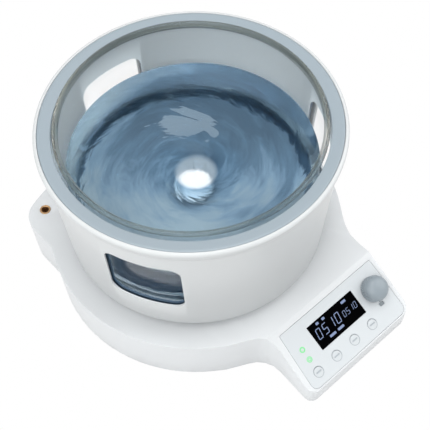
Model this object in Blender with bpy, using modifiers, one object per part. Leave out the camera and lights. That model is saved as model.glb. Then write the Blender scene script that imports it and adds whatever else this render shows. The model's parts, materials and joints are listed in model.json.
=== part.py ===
"""Magnetic stirring water bath for the bench.

A glass basin stands on a heated plate inside a tapered drum with three windows. The drum sits on a low
moulded base that holds the stirring motor, the power board and a sloping control panel. The panel faces -Y,
the bath stands on Z = 0, and the drum's axis is the Z axis of the empty named drum_axis.
"""

import math

import bmesh
import bpy
from mathutils import Matrix, Vector

# Clearances
SEAT_GAP = 0.0003
RUNNING_GAP = 0.0001
OVERRUN = 0.002

# Roundness of turned and swept forms
CHORD_SAG = 0.0005
DRUM_STEPS = 40
DISC_STEPS = 20
SHAFT_STEPS = 16
KEY_STEPS = 12
SCREW_STEPS = 8
NUT_SIDES = 6
EDGE_STEPS = 2

# Footprint, seen from above, with the drum's axis as its centre
DRUM_AXIS_BACK = 0.0296
RING_RADIUS = 0.1434
REAR_SHOULDER = 0.0187
REAR_ARC_RADIUS = 0.331
REAR_CORNER_RADIUS = 0.0268
SIDE_NECK_RADIUS = 0.012
PANEL_LEFT_REACH = 0.0387
PANEL_RIGHT_REACH = 0.0945
PANEL_STANDOUT = 0.0594
PANEL_CORNER_RADIUS = 0.0105
PANEL_FLARE = math.radians(4)
LEFT_NECK_RADIUS = 0.024
RIGHT_NECK_RADIUS = 0.050

# Base housing
STANCE = 0.0025
HOUSING_WALL = 0.0035
WALL_DRAFT = 0.0025
DECK_EDGE_ROUND = 0.005
DECK_OPENING_RADIUS = 0.058
BOSS_RADIUS = 0.0045
PEG_RADIUS = 0.0013
PEG_HEAD = 0.001

# Sloping control panel
PANEL_RUN = 0.0608
PANEL_SLOPE = math.radians(29)
UPWARD_SHARE = 1.2
PANEL_WALL = 0.005
FACEPLATE_LEFT_MARGIN = 0.0074
FACEPLATE_RIGHT_MARGIN = 0.0054
FACEPLATE_FRONT_MARGIN = 0.0033
FACEPLATE_THICKNESS = 0.002
FACEPLATE_TOP_CORNER = 0.001
FACEPLATE_LOW_CORNER = 0.006
FACEPLATE_FROM_CREST = 0.0062
FACEPLATE_LEDGE = 0.003
POST_RADIUS = 0.0028
POST_INSET_X = 0.0085
POST_INSET_Y = 0.0105
DISPLAY_LEFT_MARGIN = 0.02645
DISPLAY_RIGHT_MARGIN = 0.03545
DISPLAY_TOP_MARGIN = 0.01065
DISPLAY_LOW_MARGIN = 0.02438
DISPLAY_FLANGE = 0.0015
FLANGE_THICKNESS = 0.001
DISPLAY_MODULE_HEIGHT = 0.0052
KEY_RADIUS = 0.005
KEY_LEFT_MARGIN = 0.01016
KEY_RIGHT_MARGIN = 0.03794
KEY_ROW_RISE = 0.0116
KEY_PROUD = 0.0003
KEY_TRAVEL = 0.0006
KEY_FLANGE = 0.0008
KEY_STEM_RADIUS = 0.0015
KEY_STEM_LENGTH = 0.0012
LAMP_RADIUS = 0.0017
LAMP_LEFT_MARGIN = 0.01016
LAMP_RISE = 0.0143
LAMP_PITCH = 0.011
KNOB_RIGHT_MARGIN = 0.0163
KNOB_TOP_MARGIN = 0.0238
BOARD_THICKNESS = 0.0016
BOARD_DEPTH_BELOW_PANEL = 0.0094
BOARD_SIDE_MARGIN = 0.004
BOARD_FRONT_MARGIN = 0.00775
TACT_SWITCH_SIDE = 0.006
TACT_BODY_SHARE = 0.75

# Encoder and knob
KNOB_RADIUS = 0.0125
KNOB_HEIGHT = 0.017
KNOB_DOME_HEIGHT = 0.006
KNOB_CLEARANCE = 0.0012
KNOB_FLUTES = 20
KNOB_FLUTE_DEPTH = 0.0005
KNOB_EDGE = 0.0012
ENCODER_SIDE = 0.012
ENCODER_SHAFT_RADIUS = 0.003
ENCODER_BUSH_WALL = 0.0012
ENCODER_BUSH_RISE = 0.004
ENCODER_FLOOR = 0.0006
ENCODER_PLUNGER_HEIGHT = 0.0016
ENCODER_TRAVEL = 0.0006
ENCODER_SHAFT_RISE = 0.0125

# Base plate, feet and their fasteners
PLATE_RECESS = 0.003
PLATE_THICKNESS = 0.002
VENT_WIDTH = 0.004
VENT_LENGTH = 0.030
VENT_PITCH = 0.009
VENT_COUNT = 5
VENT_REACH = 0.095
FOOT_RADIUS = 0.009
FOOT_TAPER = 0.001
FOOT_STEM_RADIUS = 0.003
FOOT_STEM_RISE = 0.0015
REAR_FOOT_INSET = 0.0214
FRONT_FOOT_SETBACK = 0.0243
FRONT_FOOT_INSET = 0.022
SCREW_RADIUS = 0.0015
SCREW_LENGTH = 0.010
SCREW_HEAD_RADIUS = 0.003
SCREW_HEAD_HEIGHT = 0.0018
RING_BOSS_INSET = 0.0154
FRONT_BOSS_SPREAD = 0.0302

# Rear service plate
REAR_PLATE_WIDTH = 0.100
REAR_PLATE_CLEARANCE = 0.003
REAR_PLATE_HEADROOM = 0.005
REAR_PLATE_THICKNESS = 0.0015
REAR_RECESS = 0.0045
REAR_LEDGE = 0.003
REAR_PAD_THICKNESS = 0.004
SERVICE_MARGIN = 0.0085
INLET_FLANGE_WIDTH = 0.031
INLET_FLANGE_MARGIN = 0.0015
INLET_FLANGE_LAP = 0.002
INLET_FLANGE_THICKNESS = 0.002
INLET_BODY_WIDTH = 0.027
INLET_TOP_WEB = 0.00125
INLET_MIDDLE_WEB = 0.0047
INLET_LOW_WEB = 0.00105
INLET_BODY_DEPTH = 0.024
INLET_MOUTH_WIDTH = 0.0235
INLET_MOUTH_HEIGHT = 0.0155
INLET_MOUTH_DEPTH = 0.019
INLET_MOUTH_CHAMFER = 0.004
INLET_PIN_WIDTH = 0.002
INLET_PIN_HEIGHT = 0.004
INLET_PIN_LENGTH = 0.0135
INLET_PIN_SPREAD = 0.007
INLET_EARTH_RISE = 0.004
INLET_LINE_DROP = 0.0015
FUSE_DRAWER_WIDTH = 0.021
FUSE_DRAWER_HEIGHT = 0.0065
FUSE_DRAWER_DEPTH = 0.018
SWITCH_FLANGE_WIDTH = 0.015
SWITCH_FLANGE_HEIGHT = 0.021
SWITCH_FLANGE_THICKNESS = 0.0018
SWITCH_BODY_WIDTH = 0.0125
SWITCH_BODY_HEIGHT = 0.0185
SWITCH_BODY_DEPTH = 0.016
SWITCH_WALL = 0.0012
ROCKER_SWING = math.radians(18)
ROCKER_DEPTH = 0.006
ROCKER_PROUD = 0.001
SENSOR_SOCKET_RADIUS = 0.0065
SENSOR_SOCKET_BORE = 0.0042
SENSOR_SOCKET_FLANGE = 0.0012
SENSOR_SOCKET_DEPTH = 0.012
SENSOR_SOCKET_RISE = 0.003

# Support rod bush in the rear left of the deck
BUSH_SIDE_INSET = 0.0227
BUSH_REAR_INSET = 0.0319
BUSH_RADIUS = 0.00535
BUSH_BORE = 0.0036
BUSH_DEPTH = 0.022
BUSH_SHOULDER = 0.001
BUSH_BOSS_WALL = 0.003

# Stirring motor under the deck
STANDOFF_LENGTH = 0.005
BRACKET_THICKNESS = 0.002
BRACKET_WIDTH = 0.044
BRACKET_REACH = 0.056
MOTOR_RADIUS = 0.026
MOTOR_HEIGHT = 0.028
MOTOR_CAN_WALL = 0.002
STATOR_WALL = 0.006
ROTOR_AIR_GAP = 0.0006
BEARING_RADIUS = 0.0095
BEARING_HEIGHT = 0.006
SHAFT_RADIUS = 0.004
HOLDER_RADIUS = 0.036
HOLDER_THICKNESS = 0.009
HOLDER_HUB_RADIUS = 0.009
HOLDER_HUB_HEIGHT = 0.007
HOLDER_CLEARANCE = 0.0045
MAGNET_RADIUS = 0.0095
MAGNET_HEIGHT = 0.008
MAGNET_POCKET_FLOOR = 0.003
MAGNET_ORBIT = 0.023

# Drum, from the pedestal up
PEDESTAL_HEIGHT = 0.011
PEDESTAL_INSET = 0.017
PEDESTAL_WALL = 0.040
PEDESTAL_SKIRT = 0.0018
FLANGE_LAP = 0.014
SHELL_WALL = 0.0025
SHELL_FLARE_SHARE = 0.0775
SHELL_FOOT_CHAMFER = 0.0007
DRUM_HEIGHT = 0.1357
RIM_BAND = 0.014
RIM_OVERHANG = 0.0036
RIM_WIDTH = 0.0034
RIM_ROUND = 0.0028
RIM_STEP = 0.0005
LINER_WALL = 0.002
LINER_FLARE_SHARE = 0.043
COLLAR_THICKNESS = 0.003
COLLAR_FALL = 0.0012
COLLAR_LIP_DEPTH = 0.007
FLOOR_THICKNESS = 0.0015
PRESSED_NUT_HEIGHT = 0.0018
FLOOR_OPENING_RADIUS = 0.058
INSULATION_THICKNESS = 0.006
INSULATION_INSET = 0.009
HEATER_OPENING_RADIUS = 0.062
HEATER_THICKNESS = 0.002
HEATER_RADIUS = 0.094
HEATER_TAB_WIDTH = 0.010
HOT_PLATE_THICKNESS = 0.0065
HOT_PLATE_INSET = 0.0067
SENSOR_ORBIT = 0.049
SENSOR_RADIUS = 0.0025
SENSOR_LENGTH = 0.012
CUTOUT_RADIUS = 0.0075
CUTOUT_HEIGHT = 0.006
WINDOW_AZIMUTHS = (math.radians(-151.5), math.radians(-31.5), math.radians(88.5))
WINDOW_WIDTH = 0.0687
WINDOW_HEIGHT = 0.0678
WINDOW_SILL = 0.0341
WINDOW_CORNER = 0.0107

# Basin and stir bar
BASIN_RADIUS = 0.1179
BASIN_CLEARANCE = 0.0008
BASIN_WALL = 0.0028
BASIN_FLOOR = 0.0035
BASIN_CORNER = 0.016
BASIN_RISE = 0.0041
LIP_OVERHANG = 0.0027
LIP_HEIGHT = 0.005
LIP_CLEARANCE = 0.0014
STIR_BAR_LENGTH = 0.045
STIR_BAR_RADIUS = 0.0045
STIR_BAR_NOSE = 0.0034
STIR_BAR_RING_RADIUS = 0.0055
STIR_BAR_RING_WIDTH = 0.004

# Power board in the left of the base
POWER_BOARD_INSET = 0.0534
POWER_BOARD_Y = -0.004
POWER_BOARD_WIDTH = 0.052
POWER_BOARD_LENGTH = 0.076
POWER_POST_RADIUS = 0.003
POWER_POST_HEIGHT = 0.005
POWER_POST_INSET = 0.005
SUPPLY_WIDTH = 0.026
SUPPLY_LENGTH = 0.036
SUPPLY_HEIGHT = 0.018
HEATSINK_LENGTH = 0.040
HEATSINK_WIDTH = 0.016
HEATSINK_HEIGHT = 0.024
HEATSINK_BASE = 0.003
HEATSINK_FINS = 4
CAPACITOR_RADIUS = 0.006
CAPACITOR_HEIGHT = 0.017

# Places worked out from the footprint
SIDE_WALL_REACH = RING_RADIUS - REAR_SHOULDER
PANEL_FRONT_REACH = RING_RADIUS + PANEL_STANDOUT
CREST_REACH = PANEL_FRONT_REACH - PANEL_RUN
FACEPLATE_LEFT = PANEL_LEFT_REACH - FACEPLATE_LEFT_MARGIN
FACEPLATE_RIGHT = PANEL_RIGHT_REACH - FACEPLATE_RIGHT_MARGIN
FACEPLATE_WIDTH = FACEPLATE_LEFT + FACEPLATE_RIGHT
FACEPLATE_DEPTH = PANEL_RUN / math.cos(PANEL_SLOPE) - FACEPLATE_FROM_CREST - FACEPLATE_FRONT_MARGIN
FACEPLATE_CENTRE_X = (FACEPLATE_RIGHT - FACEPLATE_LEFT) / 2
KEY_ROW_Y = KEY_ROW_RISE - FACEPLATE_DEPTH / 2
DISPLAY_WIDTH = FACEPLATE_WIDTH - DISPLAY_LEFT_MARGIN - DISPLAY_RIGHT_MARGIN
DISPLAY_DEPTH = FACEPLATE_DEPTH - DISPLAY_TOP_MARGIN - DISPLAY_LOW_MARGIN
DISPLAY_CENTRE_X = (DISPLAY_LEFT_MARGIN - DISPLAY_RIGHT_MARGIN) / 2
DISPLAY_CENTRE_Y = (DISPLAY_LOW_MARGIN - DISPLAY_TOP_MARGIN) / 2
KEY_PITCH = (FACEPLATE_WIDTH - KEY_LEFT_MARGIN - KEY_RIGHT_MARGIN) / 3
KEY_FIRST_X = KEY_LEFT_MARGIN - FACEPLATE_WIDTH / 2
LAMP_X = LAMP_LEFT_MARGIN - FACEPLATE_WIDTH / 2
LAMP_LOWER_Y = KEY_ROW_Y + LAMP_RISE
LAMP_UPPER_Y = LAMP_LOWER_Y + LAMP_PITCH
KNOB_X = FACEPLATE_WIDTH / 2 - KNOB_RIGHT_MARGIN
KNOB_Y = FACEPLATE_DEPTH / 2 - KNOB_TOP_MARGIN
BOARD_WIDTH = FACEPLATE_WIDTH - 2 * BOARD_SIDE_MARGIN
BOARD_DEPTH = FACEPLATE_DEPTH - 2 * BOARD_FRONT_MARGIN
FOOT_RING_RADIUS = RING_RADIUS - REAR_FOOT_INSET
FRONT_FOOT_REACH = PANEL_FRONT_REACH - FRONT_FOOT_SETBACK
RING_BOSS_REACH = RING_RADIUS - RING_BOSS_INSET
BUSH_X = BUSH_SIDE_INSET - SIDE_WALL_REACH
BUSH_Y = RING_RADIUS - BUSH_REAR_INSET
POWER_BOARD_X = POWER_BOARD_INSET - RING_RADIUS
INLET_INNER_EDGE = REAR_PLATE_WIDTH / 2 - SERVICE_MARGIN - INLET_FLANGE_WIDTH
INLET_X = INLET_INNER_EDGE + INLET_FLANGE_WIDTH / 2
SOCKET_FLANGE_RADIUS = SENSOR_SOCKET_RADIUS + SENSOR_SOCKET_FLANGE
SENSOR_SOCKET_X = SERVICE_MARGIN + SOCKET_FLANGE_RADIUS - REAR_PLATE_WIDTH / 2
SWITCH_X = (INLET_INNER_EDGE + SENSOR_SOCKET_X + SOCKET_FLANGE_RADIUS) / 2

# Heights worked out from the stack
PLATE_BOTTOM = STANCE + PLATE_RECESS
PLATE_TOP = PLATE_BOTTOM + PLATE_THICKNESS
INLET_BODY_HEIGHT = INLET_TOP_WEB + INLET_MOUTH_HEIGHT + INLET_MIDDLE_WEB + FUSE_DRAWER_HEIGHT + INLET_LOW_WEB
INLET_FLANGE_HEIGHT = INLET_BODY_HEIGHT + 2 * INLET_FLANGE_LAP
INLET_MOUTH_RISE = INLET_BODY_HEIGHT / 2 - INLET_TOP_WEB - INLET_MOUTH_HEIGHT / 2
FUSE_DRAWER_DROP = INLET_BODY_HEIGHT / 2 - INLET_LOW_WEB - FUSE_DRAWER_HEIGHT / 2
REAR_PLATE_HEIGHT = INLET_FLANGE_HEIGHT + 2 * INLET_FLANGE_MARGIN
REAR_PLATE_MIDDLE = PLATE_TOP + REAR_PLATE_CLEARANCE + REAR_PLATE_HEIGHT / 2
DECK_UNDERSIDE = PLATE_TOP + REAR_PLATE_CLEARANCE + REAR_PLATE_HEIGHT + REAR_PLATE_HEADROOM
DECK_HEIGHT = DECK_UNDERSIDE + HOUSING_WALL
PEDESTAL_TOP = DECK_HEIGHT + SEAT_GAP + PEDESTAL_HEIGHT
DRUM_BOTTOM = PEDESTAL_TOP + SEAT_GAP
DRUM_TOP = DRUM_BOTTOM + DRUM_HEIGHT
FLOOR_BOTTOM = DRUM_BOTTOM + SHELL_WALL + SEAT_GAP
FLOOR_TOP = FLOOR_BOTTOM + FLOOR_THICKNESS
INSULATION_BOTTOM = FLOOR_TOP + SEAT_GAP
INSULATION_TOP = INSULATION_BOTTOM + INSULATION_THICKNESS
HEATER_BOTTOM = INSULATION_TOP + SEAT_GAP
HEATER_TOP = HEATER_BOTTOM + HEATER_THICKNESS
HOT_PLATE_BOTTOM = HEATER_TOP + SEAT_GAP
HOT_PLATE_TOP = HOT_PLATE_BOTTOM + HOT_PLATE_THICKNESS
BASIN_BOTTOM = HOT_PLATE_TOP + SEAT_GAP
BASIN_INSIDE_FLOOR = BASIN_BOTTOM + BASIN_FLOOR
BASIN_TOP = DRUM_TOP + BASIN_RISE
LINER_BOTTOM = FLOOR_TOP + SEAT_GAP
COLLAR_TOP = DRUM_TOP - SEAT_GAP
COLLAR_BOTTOM = COLLAR_TOP - COLLAR_THICKNESS

# Radii worked out from the basin outwards
LINER_FOOT_RADIUS = BASIN_RADIUS + BASIN_CLEARANCE
COLLAR_INNER_RADIUS = BASIN_RADIUS + LIP_OVERHANG + LIP_CLEARANCE
SHELL_LINER_FOOT_RADIUS = LINER_FOOT_RADIUS + LINER_WALL + SEAT_GAP + SHELL_WALL
SHELL_FOOT_RADIUS = SHELL_LINER_FOOT_RADIUS - SHELL_FLARE_SHARE * (LINER_BOTTOM - DRUM_BOTTOM)
RIM_RADIUS = SHELL_FOOT_RADIUS + SHELL_FLARE_SHARE * DRUM_HEIGHT + RIM_OVERHANG
COLLAR_SEAT_RADIUS = RIM_RADIUS - RIM_WIDTH
PEDESTAL_RADIUS = SHELL_FOOT_RADIUS - PEDESTAL_INSET
PEDESTAL_BORE = PEDESTAL_RADIUS - PEDESTAL_WALL
DRUM_SCREW_ORBIT = PEDESTAL_RADIUS - FLANGE_LAP / 2
HOT_PLATE_RADIUS = LINER_FOOT_RADIUS - HOT_PLATE_INSET
INSULATION_RADIUS = SHELL_FOOT_RADIUS - INSULATION_INSET

# Motor stack, from the deck down
BRACKET_TOP = DECK_UNDERSIDE - STANDOFF_LENGTH - SEAT_GAP
BRACKET_BOTTOM = BRACKET_TOP - BRACKET_THICKNESS
MOTOR_TOP = BRACKET_BOTTOM - SEAT_GAP
MOTOR_BOTTOM = MOTOR_TOP - MOTOR_HEIGHT
HOLDER_TOP = HOT_PLATE_BOTTOM - HOLDER_CLEARANCE
HOLDER_BOTTOM = HOLDER_TOP - HOLDER_THICKNESS
MAGNET_BOTTOM = HOLDER_BOTTOM + MAGNET_POCKET_FLOOR + SEAT_GAP

# Panel stack, measured down from the faceplate's top
BOARD_TOP = -BOARD_DEPTH_BELOW_PANEL
BOARD_BOTTOM = BOARD_TOP - BOARD_THICKNESS
FACEPLATE_BOTTOM = -FACEPLATE_THICKNESS
FLANGE_TOP = FACEPLATE_BOTTOM - SEAT_GAP
PANEL_CENTRE_DROP = FACEPLATE_FROM_CREST + FACEPLATE_DEPTH / 2


def srgb(red, green, blue):
    """Linear colour of a shade given as 0 to 255 screen values."""
    def linear(value):
        share = value / 255
        return share / 12.92 if share <= 0.04045 else ((share + 0.055) / 1.055) ** 2.4
    return (linear(red), linear(green), linear(blue), 1.0)


FINISHES = {
    "white_housing": (srgb(232, 235, 236), 0.42, 0.0),
    "grey_liner": (srgb(178, 190, 198), 0.40, 0.0),
    "black_plastic": (srgb(32, 34, 37), 0.55, 0.0),
    "clear_glass": (srgb(205, 218, 222), 0.05, 0.0),
    "brushed_aluminium": (srgb(186, 189, 192), 0.38, 1.0),
    "zinc_steel": (srgb(165, 168, 172), 0.35, 1.0),
    "bearing_steel": (srgb(150, 153, 158), 0.22, 1.0),
    "brass": (srgb(181, 140, 72), 0.35, 1.0),
    "hot_plate_grey": (srgb(140, 153, 163), 0.50, 0.3),
    "mineral_board": (srgb(205, 196, 178), 0.90, 0.0),
    "mica": (srgb(150, 118, 84), 0.60, 0.0),
    "copper_winding": (srgb(168, 92, 52), 0.40, 0.8),
    "magnet_nickel": (srgb(190, 190, 186), 0.25, 1.0),
    "ptfe": (srgb(240, 242, 243), 0.45, 0.0),
    "faceplate": (srgb(228, 232, 234), 0.48, 0.0),
    "display_lens": (srgb(14, 15, 18), 0.12, 0.0),
    "display_glass": (srgb(40, 52, 60), 0.20, 0.0),
    "circuit_board": (srgb(24, 84, 52), 0.50, 0.0),
    "key_plastic": (srgb(222, 227, 229), 0.45, 0.0),
    "lamp_green": (srgb(130, 240, 150), 0.30, 0.0),
    "knob_grey": (srgb(128, 140, 150), 0.38, 0.0),
    "rubber": (srgb(42, 43, 44), 0.85, 0.0),
}


def clear_scene():
    for item in list(bpy.data.objects):
        bpy.data.objects.remove(item, do_unlink=True)


def new_collection(name):
    made = bpy.data.collections.new(name)
    bpy.context.scene.collection.children.link(made)
    return made


def finish_material(finish):
    found = bpy.data.materials.get(finish)
    if found:
        return found
    colour, roughness, metallic = FINISHES[finish]
    made = bpy.data.materials.new(finish)
    made.use_nodes = True
    shader = made.node_tree.nodes["Principled BSDF"]
    shader.inputs["Base Color"].default_value = colour
    shader.inputs["Roughness"].default_value = roughness
    shader.inputs["Metallic"].default_value = metallic
    return made


def place(name, mesh, finish, parent, location=(0, 0, 0), rotation=(0, 0, 0)):
    """A sub-part of the bath, hung from the empty that sets its frame."""
    item = bpy.data.objects.new(name, mesh)
    item.location = location
    item.rotation_euler = rotation
    item.parent = parent
    mesh.materials.append(finish_material(finish))
    PARTS.objects.link(item)
    return item


def place_cutter(name, mesh, parent, location=(0, 0, 0), rotation=(0, 0, 0)):
    item = bpy.data.objects.new(name, mesh)
    item.location = location
    item.rotation_euler = rotation
    item.parent = parent
    item.hide_render = True
    item.display_type = "WIRE"
    CUTTERS.objects.link(item)
    return item


def combine(item, tool, operation="DIFFERENCE"):
    boolean = item.modifiers.new(tool.name, "BOOLEAN")
    boolean.object = tool
    boolean.operation = operation
    boolean.solver = "EXACT"


def to_mesh(name, bm, smooth_angle=math.radians(35)):
    bmesh.ops.recalc_face_normals(bm, faces=bm.faces[:])
    mesh = bpy.data.meshes.new(name)
    bm.to_mesh(mesh)
    bm.free()
    mesh.shade_smooth()
    mesh.set_sharp_from_angle(angle=smooth_angle)
    return mesh


def add_cylinder(bm, radius, low, high, centre=(0, 0), steps=SHAFT_STEPS):
    """An upright cylinder from height low to height high."""
    shift = Matrix.Translation((centre[0], centre[1], (low + high) / 2))
    bmesh.ops.create_cone(bm, cap_ends=True, segments=steps, radius1=radius, radius2=radius,
                          depth=high - low, matrix=shift)


def add_box(bm, low, high):
    """A box between two opposite corners."""
    size = [b - a for a, b in zip(low, high)]
    middle = [(a + b) / 2 for a, b in zip(low, high)]
    bmesh.ops.create_cube(bm, size=1.0, matrix=Matrix.Translation(middle) @ Matrix.Diagonal((*size, 1)))


def rounded_slab(bm, width, depth, low, high, corner, centre=(0, 0), steps=EDGE_STEPS):
    """A slab whose upright edges are rounded."""
    before = set(bm.edges)
    add_box(bm, (centre[0] - width / 2, centre[1] - depth / 2, low),
            (centre[0] + width / 2, centre[1] + depth / 2, high))
    upright = [e for e in bm.edges
               if e not in before and abs((e.verts[0].co - e.verts[1].co).z) > (high - low) / 2]
    bmesh.ops.bevel(bm, geom=upright, offset=corner, segments=steps, profile=0.5, affect="EDGES")


def faceplate_slab(bm, margin, low, high):
    """A slab of the faceplate's outline moved out by a margin, flared on its left like the housing."""
    known = set(bm.verts)
    across, along = FACEPLATE_WIDTH / 2 + margin, FACEPLATE_DEPTH / 2 + margin
    add_box(bm, (-across, -along, low), (across, along, high))
    corners = [v for v in bm.verts if v not in known]
    for v in corners:
        if v.co.x < 0 and v.co.y < 0:
            v.co.x -= 2 * along * math.tan(PANEL_FLARE)
    upright = [e for e in bm.edges if all(v in corners for v in e.verts)
               and abs(e.verts[0].co.z - e.verts[1].co.z) > (high - low) / 2]
    upper = [e for e in upright if e.verts[0].co.y > 0]
    lower = [e for e in upright if e.verts[0].co.y < 0]
    for edges, corner in ((upper, FACEPLATE_TOP_CORNER), (lower, FACEPLATE_LOW_CORNER)):
        bmesh.ops.bevel(bm, geom=edges, offset=corner + max(margin, 0), segments=EDGE_STEPS, profile=0.5,
                        affect="EDGES")


def block(name, width, depth, low, high, corner, finish, parent, centre=(0, 0), **placing):
    bm = bmesh.new()
    rounded_slab(bm, width, depth, low, high, corner, centre)
    return place(name, to_mesh(name, bm), finish, parent, **placing)


def turned(name, profile, finish, parent, steps=DISC_STEPS, ring=True, location=(0, 0, 0),
           rotation=(0, 0, 0)):
    """A turned piece from a profile of radius and height that runs down its outer side."""
    mesh = bpy.data.meshes.new(name)
    count = len(profile)
    edges = [(i, i + 1) for i in range(count - 1)]
    if ring:
        edges.append((count - 1, 0))
    mesh.from_pydata([(radius, 0, height) for radius, height in profile], edges, [])
    item = place(name, mesh, finish, parent, location, rotation)
    screw = item.modifiers.new("turn", "SCREW")
    screw.axis = "Z"
    screw.steps = steps
    screw.render_steps = steps
    screw.use_merge_vertices = True
    screw.merge_threshold = RUNNING_GAP / 10
    screw.use_smooth_shade = True
    return item


def add_stepped_pin(bm, centre, radius, low, high, pin_radius, pin_end, steps=SCREW_STEPS):
    """An upright cylinder with a thinner pin drawn out of its top or its bottom, to the height pin_end."""
    before = set(bm.faces)
    add_cylinder(bm, radius, low, high, centre, steps)
    side = 1 if pin_end > high else -1
    face = max((f for f in bm.faces if f not in before), key=lambda f: side * f.calc_center_median().z)
    root = bmesh.ops.extrude_discrete_faces(bm, faces=[face])["faces"][0]
    share = pin_radius / radius
    for vert in root.verts:
        vert.co.x = centre[0] + (vert.co.x - centre[0]) * share
        vert.co.y = centre[1] + (vert.co.y - centre[1]) * share
    tip = bmesh.ops.extrude_discrete_faces(bm, faces=[root])["faces"][0]
    for vert in tip.verts:
        vert.co.z = pin_end


def screws(name, places, head_low, tip, parent):
    """Like screws, each its own node, with the head at the bottom and the shank up to tip."""
    for number, centre in enumerate(places, 1):
        label = f"{name}_{number}"
        bm = bmesh.new()
        head_high = head_low + SCREW_HEAD_HEIGHT
        add_stepped_pin(bm, centre, SCREW_HEAD_RADIUS, head_low, head_high, SCREW_RADIUS, tip)
        place(label, to_mesh(label, bm), "zinc_steel", parent)


def around(radius, azimuths):
    return [(radius * math.cos(a), radius * math.sin(a)) for a in azimuths]


def quarters(first):
    return [first + math.pi / 2 * i for i in range(4)]


def footprint_arcs():
    """The footprint's arcs, anticlockwise from above: centre, radius, start and end angle, whether it bulges
    out and whether it starts where the last one ends. All keep their centres when the outline is offset."""
    rear_centre_y = RING_RADIUS - REAR_ARC_RADIUS
    corner_x = SIDE_WALL_REACH - REAR_CORNER_RADIUS
    corner_y = rear_centre_y + math.sqrt((REAR_ARC_RADIUS - REAR_CORNER_RADIUS) ** 2 - corner_x ** 2)
    rear_half = math.atan2(corner_x, corner_y - rear_centre_y)
    side_x = SIDE_WALL_REACH + SIDE_NECK_RADIUS
    side_y = math.sqrt((RING_RADIUS + SIDE_NECK_RADIUS) ** 2 - side_x ** 2)
    side = math.atan2(side_y, side_x)
    lean, level = math.sin(PANEL_FLARE), math.cos(PANEL_FLARE)
    left_line = PANEL_LEFT_REACH * level - CREST_REACH * lean
    left_off = left_line + LEFT_NECK_RADIUS
    left_run = math.sqrt((RING_RADIUS + LEFT_NECK_RADIUS) ** 2 - left_off ** 2)
    left_x = left_off * level + left_run * lean
    left_y = left_run * level - left_off * lean
    left = math.atan2(left_y, left_x)
    right_x = PANEL_RIGHT_REACH + RIGHT_NECK_RADIUS
    right_y = math.sqrt((RING_RADIUS + RIGHT_NECK_RADIUS) ** 2 - right_x ** 2)
    right = math.atan2(right_y, right_x)
    front_y = PANEL_CORNER_RADIUS - PANEL_FRONT_REACH
    corner_off = left_line - PANEL_CORNER_RADIUS
    lobe_left = (front_y * lean - corner_off) / level
    lobe_right = PANEL_RIGHT_REACH - PANEL_CORNER_RADIUS
    half, turn = math.pi, 2 * math.pi
    return [
        ((0, rear_centre_y), REAR_ARC_RADIUS, half / 2 - rear_half, half / 2 + rear_half, True, True),
        ((-corner_x, corner_y), REAR_CORNER_RADIUS, half / 2 + rear_half, half, True, True),
        ((-side_x, side_y), SIDE_NECK_RADIUS, 0, -side, False, False),
        ((0, 0), RING_RADIUS, half - side, half + left, True, True),
        ((-left_x, -left_y), LEFT_NECK_RADIUS, left, -PANEL_FLARE, False, True),
        ((lobe_left, front_y), PANEL_CORNER_RADIUS, half - PANEL_FLARE, 1.5 * half, True, False),
        ((lobe_right, front_y), PANEL_CORNER_RADIUS, 1.5 * half, turn, True, False),
        ((right_x, -right_y), RIGHT_NECK_RADIUS, half, half - right, False, False),
        ((0, 0), RING_RADIUS, turn - right, turn + side, True, True),
        ((side_x, side_y), SIDE_NECK_RADIUS, half + side, half, False, True),
        ((corner_x, corner_y), REAR_CORNER_RADIUS, 0, half / 2 - rear_half, True, False),
    ]


def footprint(offset):
    """The footprint's points, moved out by offset."""
    points = []
    for centre, radius, start, end, bulges, joined in footprint_arcs():
        reach = radius + offset if bulges else radius - offset
        step = 2 * math.acos(1 - CHORD_SAG / radius) if radius > CHORD_SAG else math.pi / 2
        steps = max(3, math.ceil(abs(end - start) / step))
        for i in range(1 if joined else 0, steps + 1):
            angle = start + (end - start) * i / steps
            points.append((centre[0] + reach * math.cos(angle), centre[1] + reach * math.sin(angle)))
    return points


def wall_offset(height):
    """How far the drafted outer wall stands in from the deck's edge at a height."""
    return -WALL_DRAFT * (DECK_HEIGHT - height) / (DECK_HEIGHT - STANCE)


def loft(sections):
    """A closed body through sections of equal count, each a list of (x, y) and a height."""
    bm = bmesh.new()
    rings = [[bm.verts.new((x, y, height)) for x, y in points] for points, height in sections]
    for low, high in zip(rings, rings[1:]):
        for i, vert in enumerate(low):
            j = (i + 1) % len(low)
            bm.faces.new((vert, low[j], high[j], high[i]))
    bm.faces.new(reversed(rings[0]))
    bm.faces.new(rings[-1])
    return bm


def slope_normal():
    return Vector((0, -math.sin(PANEL_SLOPE), math.cos(PANEL_SLOPE)))


def cut_to_slope(bm, depth):
    """Takes off all above the panel's plane, moved down by depth along its normal."""
    crest = Vector((0, -CREST_REACH, DECK_HEIGHT)) - slope_normal() * depth
    made = bmesh.ops.bisect_plane(bm, geom=bm.verts[:] + bm.edges[:] + bm.faces[:], plane_co=crest,
                                  plane_no=slope_normal(), clear_outer=True)
    rim = [e for e in made["geom_cut"] if isinstance(e, bmesh.types.BMEdge)]
    if rim:
        bmesh.ops.contextual_create(bm, geom=[e for e in bm.edges if e.is_boundary])


def housing_form():
    """The drafted outside of the base, with its deck and panel edges rounded."""
    bm = loft([(footprint(wall_offset(z)), z) for z in (STANCE, DECK_HEIGHT)])
    cut_to_slope(bm, 0)
    bm.normal_update()
    upward = [f for f in bm.faces if f.normal.z > math.cos(PANEL_SLOPE * UPWARD_SHARE)]
    rims = {e for f in upward for e in f.edges}
    bmesh.ops.bevel(bm, geom=list(rims), offset=DECK_EDGE_ROUND, segments=EDGE_STEPS, profile=0.5,
                    affect="EDGES", clamp_overlap=True)
    return bm


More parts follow.
